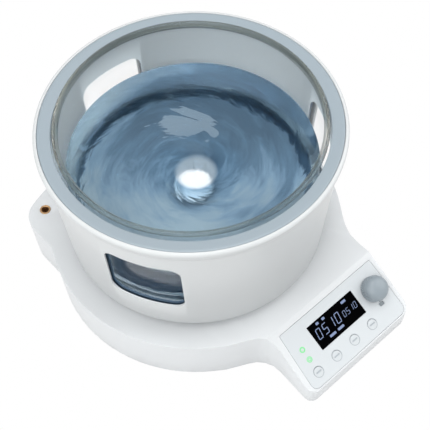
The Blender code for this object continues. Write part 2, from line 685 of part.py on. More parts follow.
def housing_hollow():
    bm = loft([(footprint(wall_offset(z) - HOUSING_WALL), z) for z in (STANCE - OVERRUN, DECK_UNDERSIDE)])
    cut_to_slope(bm, PANEL_WALL)
    return bm


def base_screw_places():
    ring = around(RING_BOSS_REACH, [math.radians(a) for a in (25, 155)])
    front_y = HOUSING_WALL + WALL_DRAFT + SCREW_HEAD_RADIUS + 2 * SEAT_GAP - PANEL_FRONT_REACH
    return ring + [(FACEPLATE_CENTRE_X + side * FRONT_BOSS_SPREAD, front_y) for side in (-1, 1)]


def drum_screw_places():
    return around(DRUM_SCREW_ORBIT, quarters(math.pi / 4))


def standoff_places():
    reach = BRACKET_REACH - BOSS_RADIUS
    across = BRACKET_WIDTH / 2 - BOSS_RADIUS
    return [(sx * reach, sy * across) for sx in (-1, 1) for sy in (-1, 1)]


def rear_seat_y():
    """The flat seat of the service plate, sunk into the curved rear wall."""
    half = REAR_PLATE_WIDTH / 2
    lowest = REAR_PLATE_MIDDLE - REAR_PLATE_HEIGHT / 2
    centre_y = RING_RADIUS - REAR_ARC_RADIUS
    reach = REAR_ARC_RADIUS + wall_offset(lowest)
    return centre_y + math.sqrt(reach ** 2 - half ** 2) - REAR_RECESS


def add_housing_bosses(bm):
    """Screw bosses, motor standoffs and the rod bush's boss, all grown down from the deck or the slope."""
    root = DECK_HEIGHT - HOUSING_WALL / 2
    for centre in base_screw_places():
        add_cylinder(bm, BOSS_RADIUS, PLATE_TOP + SEAT_GAP, root, centre, SHAFT_STEPS // 2)
    cut_to_slope(bm, PANEL_WALL / 2 + FACEPLATE_THICKNESS / 2)
    for centre in standoff_places():
        add_stepped_pin(bm, centre, BOSS_RADIUS, DECK_UNDERSIDE - STANDOFF_LENGTH, root, PEG_RADIUS,
                        BRACKET_BOTTOM - PEG_HEAD)
    add_cylinder(bm, BUSH_RADIUS + BUSH_BOSS_WALL, DECK_HEIGHT - BUSH_DEPTH - BUSH_SHOULDER, root,
                 (BUSH_X, BUSH_Y), SHAFT_STEPS)


def build_housing(axis, panel):
    housing = place("base_housing", to_mesh("base_housing", housing_form()), "white_housing", axis)
    combine(housing, place_cutter("housing_hollow", to_mesh("housing_hollow", housing_hollow()), axis))

    bm = bmesh.new()
    add_housing_bosses(bm)
    seat = rear_seat_y()
    half = REAR_PLATE_WIDTH / 2 + REAR_LEDGE / 2
    rear_low = REAR_PLATE_MIDDLE - REAR_PLATE_HEIGHT / 2
    rear_high = REAR_PLATE_MIDDLE + REAR_PLATE_HEIGHT / 2
    add_box(bm, (-half, seat - REAR_PAD_THICKNESS, rear_low - REAR_LEDGE / 2),
            (half, seat + REAR_RECESS / 2, DECK_UNDERSIDE + HOUSING_WALL / 2))
    combine(housing, place_cutter("housing_bosses", to_mesh("housing_bosses", bm), axis), "UNION")

    bm = bmesh.new()
    add_cylinder(bm, DECK_OPENING_RADIUS, DECK_UNDERSIDE - OVERRUN, DECK_HEIGHT + OVERRUN, steps=DISC_STEPS)
    for centre in drum_screw_places():
        add_cylinder(bm, SCREW_RADIUS + SEAT_GAP, DECK_UNDERSIDE - OVERRUN, DECK_HEIGHT + OVERRUN, centre,
                     SCREW_STEPS)
    add_cylinder(bm, BUSH_RADIUS + SEAT_GAP, DECK_HEIGHT - BUSH_DEPTH - SEAT_GAP, DECK_HEIGHT + OVERRUN,
                 (BUSH_X, BUSH_Y))
    for centre in base_screw_places():
        add_cylinder(bm, SCREW_RADIUS + SEAT_GAP, PLATE_TOP - OVERRUN,
                     PLATE_BOTTOM - SEAT_GAP + SCREW_LENGTH + SEAT_GAP, centre, SCREW_STEPS)
    add_box(bm, (-REAR_PLATE_WIDTH / 2, seat, rear_low),
            (REAR_PLATE_WIDTH / 2, RING_RADIUS + OVERRUN, rear_high))
    combine(housing, place_cutter("housing_holes", to_mesh("housing_holes", bm), axis))

    bm = bmesh.new()
    inner = REAR_PLATE_WIDTH / 2 - REAR_LEDGE
    add_box(bm, (-inner, seat - REAR_PAD_THICKNESS - OVERRUN, rear_low + REAR_LEDGE),
            (inner, seat + REAR_RECESS, rear_high - REAR_LEDGE))
    combine(housing, place_cutter("service_opening", to_mesh("service_opening", bm), axis))

    bm = bmesh.new()
    faceplate_slab(bm, SEAT_GAP, FLANGE_TOP, OVERRUN)
    combine(housing, place_cutter("faceplate_pocket", to_mesh("faceplate_pocket", bm), panel))
    bm = bmesh.new()
    faceplate_slab(bm, -FACEPLATE_LEDGE, -PANEL_WALL - OVERRUN, 0)
    combine(housing, place_cutter("panel_opening", to_mesh("panel_opening", bm), panel))


def foot_places():
    ring = around(FOOT_RING_RADIUS, [math.radians(a) for a in (40, 140)])
    return {
        "foot_rear_right": ring[0],
        "foot_rear_left": ring[1],
        "foot_front_left": (FRONT_FOOT_INSET - PANEL_LEFT_REACH, -FRONT_FOOT_REACH),
        "foot_front_right": (PANEL_RIGHT_REACH - FRONT_FOOT_INSET, -FRONT_FOOT_REACH),
    }


def power_post_places():
    across = POWER_BOARD_WIDTH / 2 - POWER_POST_INSET
    along = POWER_BOARD_LENGTH / 2 - POWER_POST_INSET
    return [(POWER_BOARD_X + sx * across, POWER_BOARD_Y + sy * along) for sx in (-1, 1) for sy in (-1, 1)]


def build_base_plate(axis):
    fit = -HOUSING_WALL - SEAT_GAP
    bm = loft([(footprint(wall_offset(PLATE_BOTTOM) + fit), PLATE_BOTTOM),
               (footprint(wall_offset(PLATE_BOTTOM) + fit), PLATE_TOP)])
    plate = place("base_plate", to_mesh("base_plate", bm), "black_plastic", axis)
    bm = bmesh.new()
    for centre in power_post_places():
        post_top = PLATE_TOP + POWER_POST_HEIGHT
        add_stepped_pin(bm, centre, POWER_POST_RADIUS, PLATE_TOP - PLATE_THICKNESS / 2, post_top, PEG_RADIUS,
                        post_top + SEAT_GAP + BOARD_THICKNESS + PEG_HEAD)
    combine(plate, place_cutter("plate_posts", to_mesh("plate_posts", bm), axis), "UNION")
    bm = bmesh.new()
    low, high = PLATE_BOTTOM - OVERRUN, PLATE_TOP + OVERRUN
    for centre in base_screw_places():
        add_cylinder(bm, SCREW_RADIUS + SEAT_GAP, low, high, centre, SCREW_STEPS)
    for centre in foot_places().values():
        add_cylinder(bm, FOOT_STEM_RADIUS + SEAT_GAP, low, high, centre, SCREW_STEPS)
    for side in (-1, 1):
        for i in range(VENT_COUNT):
            x = VENT_PITCH * (i - (VENT_COUNT - 1) / 2)
            y = side * VENT_REACH
            add_box(bm, (x - VENT_WIDTH / 2, y - VENT_LENGTH / 2, low),
                    (x + VENT_WIDTH / 2, y + VENT_LENGTH / 2, high))
    combine(plate, place_cutter("plate_holes", to_mesh("plate_holes", bm), axis))
    head_low = PLATE_BOTTOM - SEAT_GAP - SCREW_HEAD_HEIGHT
    screws("base_screw", base_screw_places(), head_low, PLATE_BOTTOM - SEAT_GAP + SCREW_LENGTH, axis)
    for name, centre in foot_places().items():
        top = PLATE_BOTTOM - SEAT_GAP
        profile = [(0, PLATE_TOP + FOOT_STEM_RISE), (FOOT_STEM_RADIUS, PLATE_TOP + FOOT_STEM_RISE),
                   (FOOT_STEM_RADIUS, top), (FOOT_RADIUS, top), (FOOT_RADIUS - FOOT_TAPER, 0), (0, 0)]
        turned(name, profile, "rubber", axis, SHAFT_STEPS, False, (*centre, 0))


def build_motor(axis):
    bm = bmesh.new()
    rounded_slab(bm, 2 * BRACKET_REACH, BRACKET_WIDTH, BRACKET_BOTTOM, BRACKET_TOP, BOSS_RADIUS)
    bracket = place("motor_bracket", to_mesh("motor_bracket", bm), "zinc_steel", axis)
    bm = bmesh.new()
    low, high = BRACKET_BOTTOM - OVERRUN, BRACKET_TOP + OVERRUN
    add_cylinder(bm, BEARING_RADIUS, low, high)
    for centre in standoff_places():
        add_cylinder(bm, PEG_RADIUS + SEAT_GAP, low, high, centre, SCREW_STEPS)
    combine(bracket, place_cutter("bracket_holes", to_mesh("bracket_holes", bm), axis))

    bore = SHAFT_RADIUS + RUNNING_GAP
    seat = BEARING_RADIUS + SEAT_GAP
    cavity = MOTOR_RADIUS - MOTOR_CAN_WALL
    upper_seat = MOTOR_TOP - BEARING_HEIGHT
    sill = MOTOR_BOTTOM + MOTOR_CAN_WALL
    lower_seat = sill + BEARING_HEIGHT
    profile = [(seat, MOTOR_TOP), (MOTOR_RADIUS, MOTOR_TOP), (MOTOR_RADIUS, MOTOR_BOTTOM),
               (bore + MOTOR_CAN_WALL, MOTOR_BOTTOM), (bore + MOTOR_CAN_WALL, sill), (seat, sill),
               (seat, lower_seat), (cavity, lower_seat), (cavity, upper_seat - SEAT_GAP),
               (seat, upper_seat - SEAT_GAP)]
    turned("motor_can", profile, "zinc_steel", axis)
    low, high = lower_seat + SEAT_GAP, upper_seat - 2 * SEAT_GAP
    outer = cavity - SEAT_GAP
    inner = outer - STATOR_WALL
    turned("motor_stator", [(inner, high), (outer, high), (outer, low), (inner, low)], "copper_winding", axis)
    for name, top in (("upper_bearing", MOTOR_TOP), ("lower_bearing", lower_seat)):
        low = top - BEARING_HEIGHT + SEAT_GAP
        profile = [(bore, top), (BEARING_RADIUS, top), (BEARING_RADIUS, low), (bore, low)]
        turned(name, profile, "bearing_steel", axis, SHAFT_STEPS)
    build_rotor(axis, inner, lower_seat, upper_seat)


def build_rotor(axis, stator_bore, low_seat, high_seat):
    """What turns with the motor: shaft, armature, and the holder with its two magnets."""
    shaft_low = MOTOR_BOTTOM + MOTOR_CAN_WALL + SEAT_GAP
    shaft_high = HOLDER_TOP - SEAT_GAP
    profile = [(0, shaft_high), (SHAFT_RADIUS, shaft_high), (SHAFT_RADIUS, shaft_low), (0, shaft_low)]
    turned("drive_shaft", profile, "bearing_steel", axis, SHAFT_STEPS, False)
    bore = SHAFT_RADIUS + SEAT_GAP
    outer = stator_bore - ROTOR_AIR_GAP
    low, high = low_seat + 2 * SEAT_GAP, high_seat - 3 * SEAT_GAP
    turned("armature", [(bore, high), (outer, high), (outer, low), (bore, low)], "zinc_steel", axis)
    hub_low = HOLDER_BOTTOM - HOLDER_HUB_HEIGHT
    profile = [(bore, HOLDER_TOP), (HOLDER_RADIUS, HOLDER_TOP), (HOLDER_RADIUS, HOLDER_BOTTOM),
               (HOLDER_HUB_RADIUS, HOLDER_BOTTOM), (HOLDER_HUB_RADIUS, hub_low), (bore, hub_low)]
    holder = turned("magnet_holder", profile, "brushed_aluminium", axis)
    places = [(-MAGNET_ORBIT, 0), (MAGNET_ORBIT, 0)]
    bm = bmesh.new()
    for centre in places:
        add_cylinder(bm, MAGNET_RADIUS + SEAT_GAP, MAGNET_BOTTOM - SEAT_GAP, HOLDER_TOP + OVERRUN, centre)
    combine(holder, place_cutter("magnet_pockets", to_mesh("magnet_pockets", bm), axis))
    for name, centre in zip(("north_magnet", "south_magnet"), places):
        bm = bmesh.new()
        add_cylinder(bm, MAGNET_RADIUS, MAGNET_BOTTOM, MAGNET_BOTTOM + MAGNET_HEIGHT, centre)
        place(name, to_mesh(name, bm), "magnet_nickel", axis)


def shell_radius(height):
    """The drum's outer radius at a height, on its plain taper."""
    return SHELL_FOOT_RADIUS + SHELL_FLARE_SHARE * (height - DRUM_BOTTOM)


def liner_radius(height):
    return LINER_FOOT_RADIUS + LINER_FLARE_SHARE * (height - LINER_BOTTOM)


def window_cutter(axis):
    """Three rounded prisms, each pointing out from the drum's axis."""
    low = DRUM_BOTTOM + WINDOW_SILL
    near_side = LINER_FOOT_RADIUS - OVERRUN
    bm = bmesh.new()
    for azimuth in WINDOW_AZIMUTHS:
        prism = bmesh.new()
        rounded_slab(prism, WINDOW_HEIGHT, WINDOW_WIDTH, near_side / 2, RIM_RADIUS + OVERRUN, WINDOW_CORNER,
                     steps=4)
        turn = Matrix.Translation((0, 0, low + WINDOW_HEIGHT / 2)) @ Matrix.Rotation(azimuth, 4, "Z") \
            @ Matrix.Rotation(math.pi / 2, 4, "Y")
        bmesh.ops.transform(prism, matrix=turn, verts=prism.verts[:])
        piece = bpy.data.meshes.new("window_prism")
        prism.to_mesh(piece)
        prism.free()
        bm.from_mesh(piece)
        bpy.data.meshes.remove(piece)
    return place_cutter("window_cutter", to_mesh("window_cutter", bm), axis)


def build_drum(axis):
    low = DECK_HEIGHT + SEAT_GAP
    skirt = PEDESTAL_RADIUS - PEDESTAL_SKIRT
    profile = [(PEDESTAL_BORE, PEDESTAL_TOP), (PEDESTAL_RADIUS, PEDESTAL_TOP),
               (PEDESTAL_RADIUS, PEDESTAL_TOP - PEDESTAL_SKIRT), (skirt, PEDESTAL_TOP - PEDESTAL_SKIRT),
               (skirt, low), (PEDESTAL_BORE, low)]
    pedestal = turned("pedestal", profile, "black_plastic", axis, DRUM_STEPS)

    flange_bore = PEDESTAL_RADIUS - FLANGE_LAP
    flange_top = DRUM_BOTTOM + SHELL_WALL
    band_low = DRUM_TOP - RIM_BAND
    ledge = COLLAR_BOTTOM - SEAT_GAP
    rim_low = DRUM_TOP - RIM_ROUND
    arc = [(RIM_RADIUS - RIM_ROUND + RIM_ROUND * math.sin(a), rim_low + RIM_ROUND * math.cos(a))
           for a in (0, math.pi / 4, math.pi / 2)]
    profile = [(COLLAR_SEAT_RADIUS, DRUM_TOP - SEAT_GAP), *arc,
               (shell_radius(band_low) + RIM_STEP, band_low), (shell_radius(band_low), band_low - RIM_STEP),
               (SHELL_FOOT_RADIUS, DRUM_BOTTOM + SHELL_FOOT_CHAMFER),
               (SHELL_FOOT_RADIUS - SHELL_FOOT_CHAMFER, DRUM_BOTTOM), (flange_bore, DRUM_BOTTOM),
               (flange_bore, flange_top), (shell_radius(flange_top) - SHELL_WALL, flange_top),
               (shell_radius(ledge) - SHELL_WALL, ledge), (COLLAR_SEAT_RADIUS, ledge)]
    shell = turned("drum_shell", profile, "white_housing", axis, DRUM_STEPS)

    lip_low = COLLAR_TOP - COLLAR_FALL - COLLAR_LIP_DEPTH
    rim = COLLAR_SEAT_RADIUS - SEAT_GAP
    chamfer = COLLAR_THICKNESS / 4
    foot = LINER_FOOT_RADIUS
    profile = [(COLLAR_INNER_RADIUS, COLLAR_TOP - COLLAR_FALL - chamfer),
               (COLLAR_INNER_RADIUS + chamfer, COLLAR_TOP - COLLAR_FALL), (rim - chamfer, COLLAR_TOP),
               (rim, COLLAR_TOP - chamfer), (rim, COLLAR_BOTTOM),
               (liner_radius(COLLAR_BOTTOM) + LINER_WALL, COLLAR_BOTTOM), (foot + LINER_WALL, LINER_BOTTOM),
               (foot, LINER_BOTTOM),
               (liner_radius(lip_low - LINER_WALL), lip_low - LINER_WALL), (COLLAR_INNER_RADIUS, lip_low)]
    liner = turned("inner_liner", profile, "grey_liner", axis, DRUM_STEPS)
    windows = window_cutter(axis)
    combine(shell, windows)
    combine(liner, windows)

    radius = shell_radius(FLOOR_BOTTOM) - SHELL_WALL - SEAT_GAP
    profile = [(FLOOR_OPENING_RADIUS, FLOOR_TOP), (radius, FLOOR_TOP), (radius, FLOOR_BOTTOM),
               (FLOOR_OPENING_RADIUS, FLOOR_BOTTOM)]
    floor = turned("drum_floor", profile, "brushed_aluminium", axis)

    nut_top = FLOOR_TOP + PRESSED_NUT_HEIGHT
    bm = bmesh.new()
    for centre in drum_screw_places():
        add_cylinder(bm, SCREW_HEAD_RADIUS, FLOOR_BOTTOM + FLOOR_THICKNESS / 2, nut_top, centre, NUT_SIDES)
    combine(floor, place_cutter("pressed_nuts", to_mesh("pressed_nuts", bm), axis), "UNION")

    bm = bmesh.new()
    for centre in drum_screw_places():
        add_cylinder(bm, SCREW_RADIUS + SEAT_GAP, DECK_HEIGHT - OVERRUN, nut_top + OVERRUN, centre,
                     SCREW_STEPS)
    holes = place_cutter("drum_screw_holes", to_mesh("drum_screw_holes", bm), axis)
    for item in (pedestal, shell, floor):
        combine(item, holes)
    head_low = DECK_UNDERSIDE - SEAT_GAP - SCREW_HEAD_HEIGHT
    screws("drum_screw", drum_screw_places(), head_low, nut_top, axis)


def build_heater(axis):
    profile = [(FLOOR_OPENING_RADIUS, INSULATION_TOP), (INSULATION_RADIUS, INSULATION_TOP),
               (INSULATION_RADIUS, INSULATION_BOTTOM), (FLOOR_OPENING_RADIUS, INSULATION_BOTTOM)]
    insulation = turned("insulation_board", profile, "mineral_board", axis)
    bm = bmesh.new()
    relief = SCREW_HEAD_RADIUS + SEAT_GAP
    for centre in drum_screw_places():
        add_cylinder(bm, relief, INSULATION_BOTTOM - OVERRUN, INSULATION_TOP + OVERRUN, centre, SCREW_STEPS)
    combine(insulation, place_cutter("nut_reliefs", to_mesh("nut_reliefs", bm), axis))

    profile = [(HEATER_OPENING_RADIUS, HEATER_TOP), (HEATER_RADIUS, HEATER_TOP),
               (HEATER_RADIUS, HEATER_BOTTOM), (HEATER_OPENING_RADIUS, HEATER_BOTTOM)]
    heater = turned("heating_element", profile, "mica", axis)
    bm = bmesh.new()
    slot = HEATER_TAB_WIDTH / 4
    add_box(bm, (-HEATER_RADIUS - OVERRUN, -slot, HEATER_BOTTOM - OVERRUN), (0, slot, HEATER_TOP + OVERRUN))
    combine(heater, place_cutter("heater_split", to_mesh("heater_split", bm), axis))

    edge = HOT_PLATE_THICKNESS / 6
    profile = [(0, HOT_PLATE_TOP), (HOT_PLATE_RADIUS - edge, HOT_PLATE_TOP),
               (HOT_PLATE_RADIUS, HOT_PLATE_TOP - edge), (HOT_PLATE_RADIUS, HOT_PLATE_BOTTOM),
               (0, HOT_PLATE_BOTTOM)]
    turned("hot_plate", profile, "hot_plate_grey", axis, DRUM_STEPS, False)

    top = HOT_PLATE_BOTTOM - SEAT_GAP
    profile = [(0, top), (SENSOR_RADIUS, top), (SENSOR_RADIUS, top - SENSOR_LENGTH), (0, top - SENSOR_LENGTH)]
    turned("plate_sensor", profile, "bearing_steel", axis, SCREW_STEPS, False, (0, -SENSOR_ORBIT, 0))
    profile = [(0, top), (CUTOUT_RADIUS, top), (CUTOUT_RADIUS, top - CUTOUT_HEIGHT), (0, top - CUTOUT_HEIGHT)]
    turned("thermal_cutout", profile, "black_plastic", axis, SHAFT_STEPS, False, (0, SENSOR_ORBIT, 0))


def basin_corner(radius, low, inset):
    """A quarter round from the wall down to the floor, drawn in by inset on both sides."""
    reach = BASIN_CORNER - inset
    centre_r, centre_z = radius - BASIN_CORNER, low + BASIN_CORNER
    return [(centre_r + reach * math.cos(a), centre_z - reach * math.sin(a))
            for a in (0, math.pi / 6, math.pi / 3, math.pi / 2)]


def build_basin(axis):
    """The glass dish with a rolled lip, and the stir bar on its floor."""
    inside = BASIN_RADIUS - BASIN_WALL
    lip_mid = BASIN_TOP - LIP_HEIGHT / 2
    lip_half = (LIP_OVERHANG + BASIN_WALL) / 2
    lip_r = BASIN_RADIUS + LIP_OVERHANG - lip_half
    lip = [(lip_r - lip_half * math.cos(a), lip_mid + LIP_HEIGHT / 2 * math.sin(a))
           for a in (math.pi * i / 4 for i in range(5))]
    outer = basin_corner(BASIN_RADIUS, BASIN_BOTTOM, 0)
    lift = BASIN_FLOOR - BASIN_WALL
    inner = [(r, z + lift) for r, z in basin_corner(BASIN_RADIUS, BASIN_BOTTOM, BASIN_WALL)]
    profile = [*lip, (BASIN_RADIUS, BASIN_TOP - LIP_HEIGHT), *outer, (0, BASIN_BOTTOM)]
    profile = [(0, BASIN_INSIDE_FLOOR), *reversed(inner), (inside, BASIN_TOP - LIP_HEIGHT), *profile]
    turned("glass_basin", profile, "clear_glass", axis, DRUM_STEPS, False)

    middle = BASIN_INSIDE_FLOOR + SEAT_GAP + STIR_BAR_RING_RADIUS
    half = STIR_BAR_LENGTH / 2
    tip = STIR_BAR_RADIUS / 2
    ring = STIR_BAR_RING_WIDTH / 2
    step = (STIR_BAR_RING_RADIUS - STIR_BAR_RADIUS) / 2
    shoulder = half - STIR_BAR_NOSE
    profile = [(0, half), (tip, half - STIR_BAR_NOSE / 6), (STIR_BAR_RADIUS, shoulder),
               (STIR_BAR_RADIUS, ring + step), (STIR_BAR_RING_RADIUS, ring), (STIR_BAR_RING_RADIUS, -ring),
               (STIR_BAR_RADIUS, -ring - step), (STIR_BAR_RADIUS, -shoulder),
               (tip, STIR_BAR_NOSE / 6 - half), (0, -half)]
    turned("stir_bar", profile, "ptfe", axis, SCREW_STEPS, False, (0, 0, middle), (0, math.pi / 2, 0))


def build_rod_bush(axis):
    low = DECK_HEIGHT - BUSH_DEPTH
    top = DECK_HEIGHT + BUSH_SHOULDER / 2
    bevel = BUSH_SHOULDER / 2
    profile = [(BUSH_BORE + bevel, top), (BUSH_RADIUS - bevel / 2, top), (BUSH_RADIUS, top - bevel / 2),
               (BUSH_RADIUS, low), (BUSH_BORE, low), (BUSH_BORE, top - bevel)]
    turned("rod_bush", profile, "brass", axis, SHAFT_STEPS, True, (BUSH_X, BUSH_Y, 0))


def key_places():
    return [(KEY_FIRST_X + KEY_PITCH * i, KEY_ROW_Y) for i in range(4)]


def post_places():
    across = FACEPLATE_WIDTH / 2 - POST_INSET_X
    along = FACEPLATE_DEPTH / 2 - POST_INSET_Y
    return [(-across, along), (across, along), (across, -along), (KEY_FIRST_X + KEY_PITCH / 2, -along)]


def build_panel(panel):
    """The faceplate and all that sits behind it, in the slope's own frame: Z is out of the panel."""
    bm = bmesh.new()
    faceplate_slab(bm, 0, FACEPLATE_BOTTOM, 0)
    faceplate = place("faceplate", to_mesh("faceplate", bm), "faceplate", panel)
    bm = bmesh.new()
    for centre in post_places():
        add_stepped_pin(bm, centre, POST_RADIUS, BOARD_TOP + SEAT_GAP, FACEPLATE_BOTTOM / 2, PEG_RADIUS,
                        BOARD_BOTTOM - PEG_HEAD)
    combine(faceplate, place_cutter("faceplate_posts", to_mesh("faceplate_posts", bm), panel), "UNION")
    bm = bmesh.new()
    low = FACEPLATE_BOTTOM - OVERRUN
    across = DISPLAY_WIDTH / 2 + SEAT_GAP
    along = DISPLAY_DEPTH / 2 + SEAT_GAP
    add_box(bm, (DISPLAY_CENTRE_X - across, DISPLAY_CENTRE_Y - along, low),
            (DISPLAY_CENTRE_X + across, DISPLAY_CENTRE_Y + along, OVERRUN))
    for centre in key_places():
        add_cylinder(bm, KEY_RADIUS + SEAT_GAP, low, OVERRUN, centre, KEY_STEPS)
    for y in (LAMP_UPPER_Y, LAMP_LOWER_Y):
        add_cylinder(bm, LAMP_RADIUS + SEAT_GAP, low, OVERRUN, (LAMP_X, y), SCREW_STEPS)
    add_cylinder(bm, ENCODER_SHAFT_RADIUS + ENCODER_BUSH_WALL + 2 * SEAT_GAP, low, OVERRUN, (KNOB_X, KNOB_Y))
    combine(faceplate, place_cutter("faceplate_holes", to_mesh("faceplate_holes", bm), panel))

    bm = bmesh.new()
    middle = (DISPLAY_CENTRE_X, DISPLAY_CENTRE_Y)
    rounded_slab(bm, DISPLAY_WIDTH, DISPLAY_DEPTH, FACEPLATE_BOTTOM - SEAT_GAP - FLANGE_THICKNESS / 2, 0,
                 SEAT_GAP, middle, 1)
    lens = place("display_lens", to_mesh("display_lens", bm), "display_lens", panel)
    bm = bmesh.new()
    rounded_slab(bm, DISPLAY_WIDTH + 2 * DISPLAY_FLANGE, DISPLAY_DEPTH + 2 * DISPLAY_FLANGE,
                 FLANGE_TOP - FLANGE_THICKNESS, FLANGE_TOP, DISPLAY_FLANGE, middle, 1)
    combine(lens, place_cutter("lens_flange", to_mesh("lens_flange", bm), panel), "UNION")
    low = BOARD_TOP + SEAT_GAP
    block("display_module", DISPLAY_WIDTH - 2 * DISPLAY_FLANGE, DISPLAY_DEPTH - DISPLAY_FLANGE, low,
          low + DISPLAY_MODULE_HEIGHT, DISPLAY_FLANGE / 2, "display_glass", panel, middle)

    bm = bmesh.new()
    rounded_slab(bm, BOARD_WIDTH, BOARD_DEPTH, BOARD_BOTTOM, BOARD_TOP, DISPLAY_FLANGE)
    board = place("control_board", to_mesh("control_board", bm), "circuit_board", panel)
    bm = bmesh.new()
    for centre in post_places():
        add_cylinder(bm, PEG_RADIUS + SEAT_GAP, BOARD_BOTTOM - OVERRUN, BOARD_TOP + OVERRUN, centre,
                     SCREW_STEPS)
    combine(board, place_cutter("board_holes", to_mesh("board_holes", bm), panel))
    build_keys(panel, board)
    build_encoder(panel)
    for name, y in (("upper_lamp", LAMP_UPPER_Y), ("lower_lamp", LAMP_LOWER_Y)):
        profile = [(0, 0), (LAMP_RADIUS, 0), (LAMP_RADIUS, BOARD_TOP + SEAT_GAP), (0, BOARD_TOP + SEAT_GAP)]
        turned(name, profile, "lamp_green", panel, SHAFT_STEPS // 2, False, (LAMP_X, y, 0))


def build_keys(panel, board):
    """Four short-travel keys, each over a tact switch soldered to the board."""
    flange_low = FLANGE_TOP - KEY_FLANGE
    stem_low = flange_low - KEY_STEM_LENGTH
    edge = KEY_PROUD
    for number, (x, y) in enumerate(key_places(), 1):
        profile = [(0, KEY_PROUD), (KEY_RADIUS - edge, KEY_PROUD), (KEY_RADIUS, 0), (KEY_RADIUS, FLANGE_TOP),
                   (KEY_RADIUS + KEY_FLANGE, FLANGE_TOP), (KEY_RADIUS + KEY_FLANGE, flange_low),
                   (KEY_STEM_RADIUS, flange_low), (KEY_STEM_RADIUS, stem_low), (0, stem_low)]
        turned(f"key_{number}", profile, "key_plastic", panel, KEY_STEPS, False, (x, y, 0))
    top = stem_low - KEY_TRAVEL - RUNNING_GAP
    root = BOARD_TOP - BOARD_THICKNESS / 2
    body = BOARD_TOP + (top - BOARD_TOP) * TACT_BODY_SHARE
    bm = bmesh.new()
    half = TACT_SWITCH_SIDE / 2
    for x, y in key_places():
        add_box(bm, (x - half, y - half, root), (x + half, y + half, body))
    combine(board, place_cutter("tact_bodies", to_mesh("tact_bodies", bm), panel), "UNION")
    bm = bmesh.new()
    for centre in key_places():
        add_cylinder(bm, KEY_STEM_RADIUS, BOARD_TOP, top, centre, SCREW_STEPS)
    combine(board, place_cutter("tact_buttons", to_mesh("tact_buttons", bm), panel), "UNION")


def build_encoder(panel):
    """The encoder's case, its press plunger, its shaft, and the fluted knob on the shaft."""
    low = BOARD_TOP + SEAT_GAP
    case_top = FACEPLATE_BOTTOM - SEAT_GAP
    bore = ENCODER_SHAFT_RADIUS + RUNNING_GAP
    centre = (KNOB_X, KNOB_Y)
    bm = bmesh.new()
    rounded_slab(bm, ENCODER_SIDE, ENCODER_SIDE, low, case_top, SEAT_GAP)
    case = place("encoder_case", to_mesh("encoder_case", bm), "zinc_steel", panel, (*centre, 0))
    bush = ENCODER_SHAFT_RADIUS + ENCODER_BUSH_WALL
    bm = bmesh.new()
    add_cylinder(bm, bush, (low + case_top) / 2, ENCODER_BUSH_RISE, centre)
    combine(case, place_cutter("encoder_bush", to_mesh("encoder_bush", bm), panel), "UNION")
    bm = bmesh.new()
    add_cylinder(bm, bore, low + ENCODER_FLOOR, ENCODER_BUSH_RISE + OVERRUN, centre)
    combine(case, place_cutter("encoder_bore", to_mesh("encoder_bore", bm), panel))
    plunger_low = low + ENCODER_FLOOR + ENCODER_TRAVEL + RUNNING_GAP
    plunger_top = plunger_low + ENCODER_PLUNGER_HEIGHT
    profile = [(0, plunger_top), (ENCODER_SHAFT_RADIUS, plunger_top), (ENCODER_SHAFT_RADIUS, plunger_low),
               (0, plunger_low)]
    turned("encoder_plunger", profile, "black_plastic", panel, SHAFT_STEPS, False, (*centre, 0))
    shaft_low = plunger_top + SEAT_GAP
    profile = [(0, ENCODER_SHAFT_RISE), (ENCODER_SHAFT_RADIUS, ENCODER_SHAFT_RISE),
               (ENCODER_SHAFT_RADIUS, shaft_low), (0, shaft_low)]
    turned("encoder_shaft", profile, "bearing_steel", panel, SHAFT_STEPS, False, (*centre, 0))
    build_knob(panel, centre)


def build_knob(panel, centre):
    """A domed cap over a fluted skirt, hollow above the panel nut and bored for the shaft."""
    skirt_top = KNOB_HEIGHT - KNOB_DOME_HEIGHT
    crown = KNOB_RADIUS - KNOB_EDGE

    def ring(radius, height, depth):
        azimuths = [math.pi * i / KNOB_FLUTES for i in range(2 * KNOB_FLUTES)]
        reaches = [radius - depth * (i % 2) for i in range(2 * KNOB_FLUTES)]
        return [(r * math.cos(a), r * math.sin(a)) for r, a in zip(reaches, azimuths)], height

    sections = [ring(KNOB_RADIUS, KNOB_CLEARANCE, KNOB_FLUTE_DEPTH),
                ring(KNOB_RADIUS, skirt_top - KNOB_EDGE, KNOB_FLUTE_DEPTH),
                ring(crown + KNOB_EDGE / 2, skirt_top, 0)]
    for angle in (math.pi / 6, math.pi / 3):
        sections.append(ring(crown * math.cos(angle), skirt_top + KNOB_DOME_HEIGHT * math.sin(angle), 0))
    bm = loft(sections)
    crown_face = max(bm.faces, key=lambda f: f.calc_center_median().z)
    bmesh.ops.poke(bm, faces=[crown_face])
    peak = max(bm.verts, key=lambda v: (v.co.z, -v.co.xy.length))
    peak.co.z = KNOB_HEIGHT
    knob = place("knob", to_mesh("knob", bm), "knob_grey", panel, (*centre, 0))
    hub = ENCODER_SHAFT_RADIUS + ENCODER_BUSH_WALL + KNOB_EDGE
    bm = bmesh.new()
    add_cylinder(bm, hub, KNOB_CLEARANCE - OVERRUN, ENCODER_BUSH_RISE + KNOB_CLEARANCE, centre)
    combine(knob, place_cutter("knob_recess", to_mesh("knob_recess", bm), panel))
    bm = bmesh.new()
    add_cylinder(bm, ENCODER_SHAFT_RADIUS + SEAT_GAP, KNOB_CLEARANCE, ENCODER_SHAFT_RISE + SEAT_GAP, centre)
    combine(knob, place_cutter("knob_bore", to_mesh("knob_bore", bm), panel))


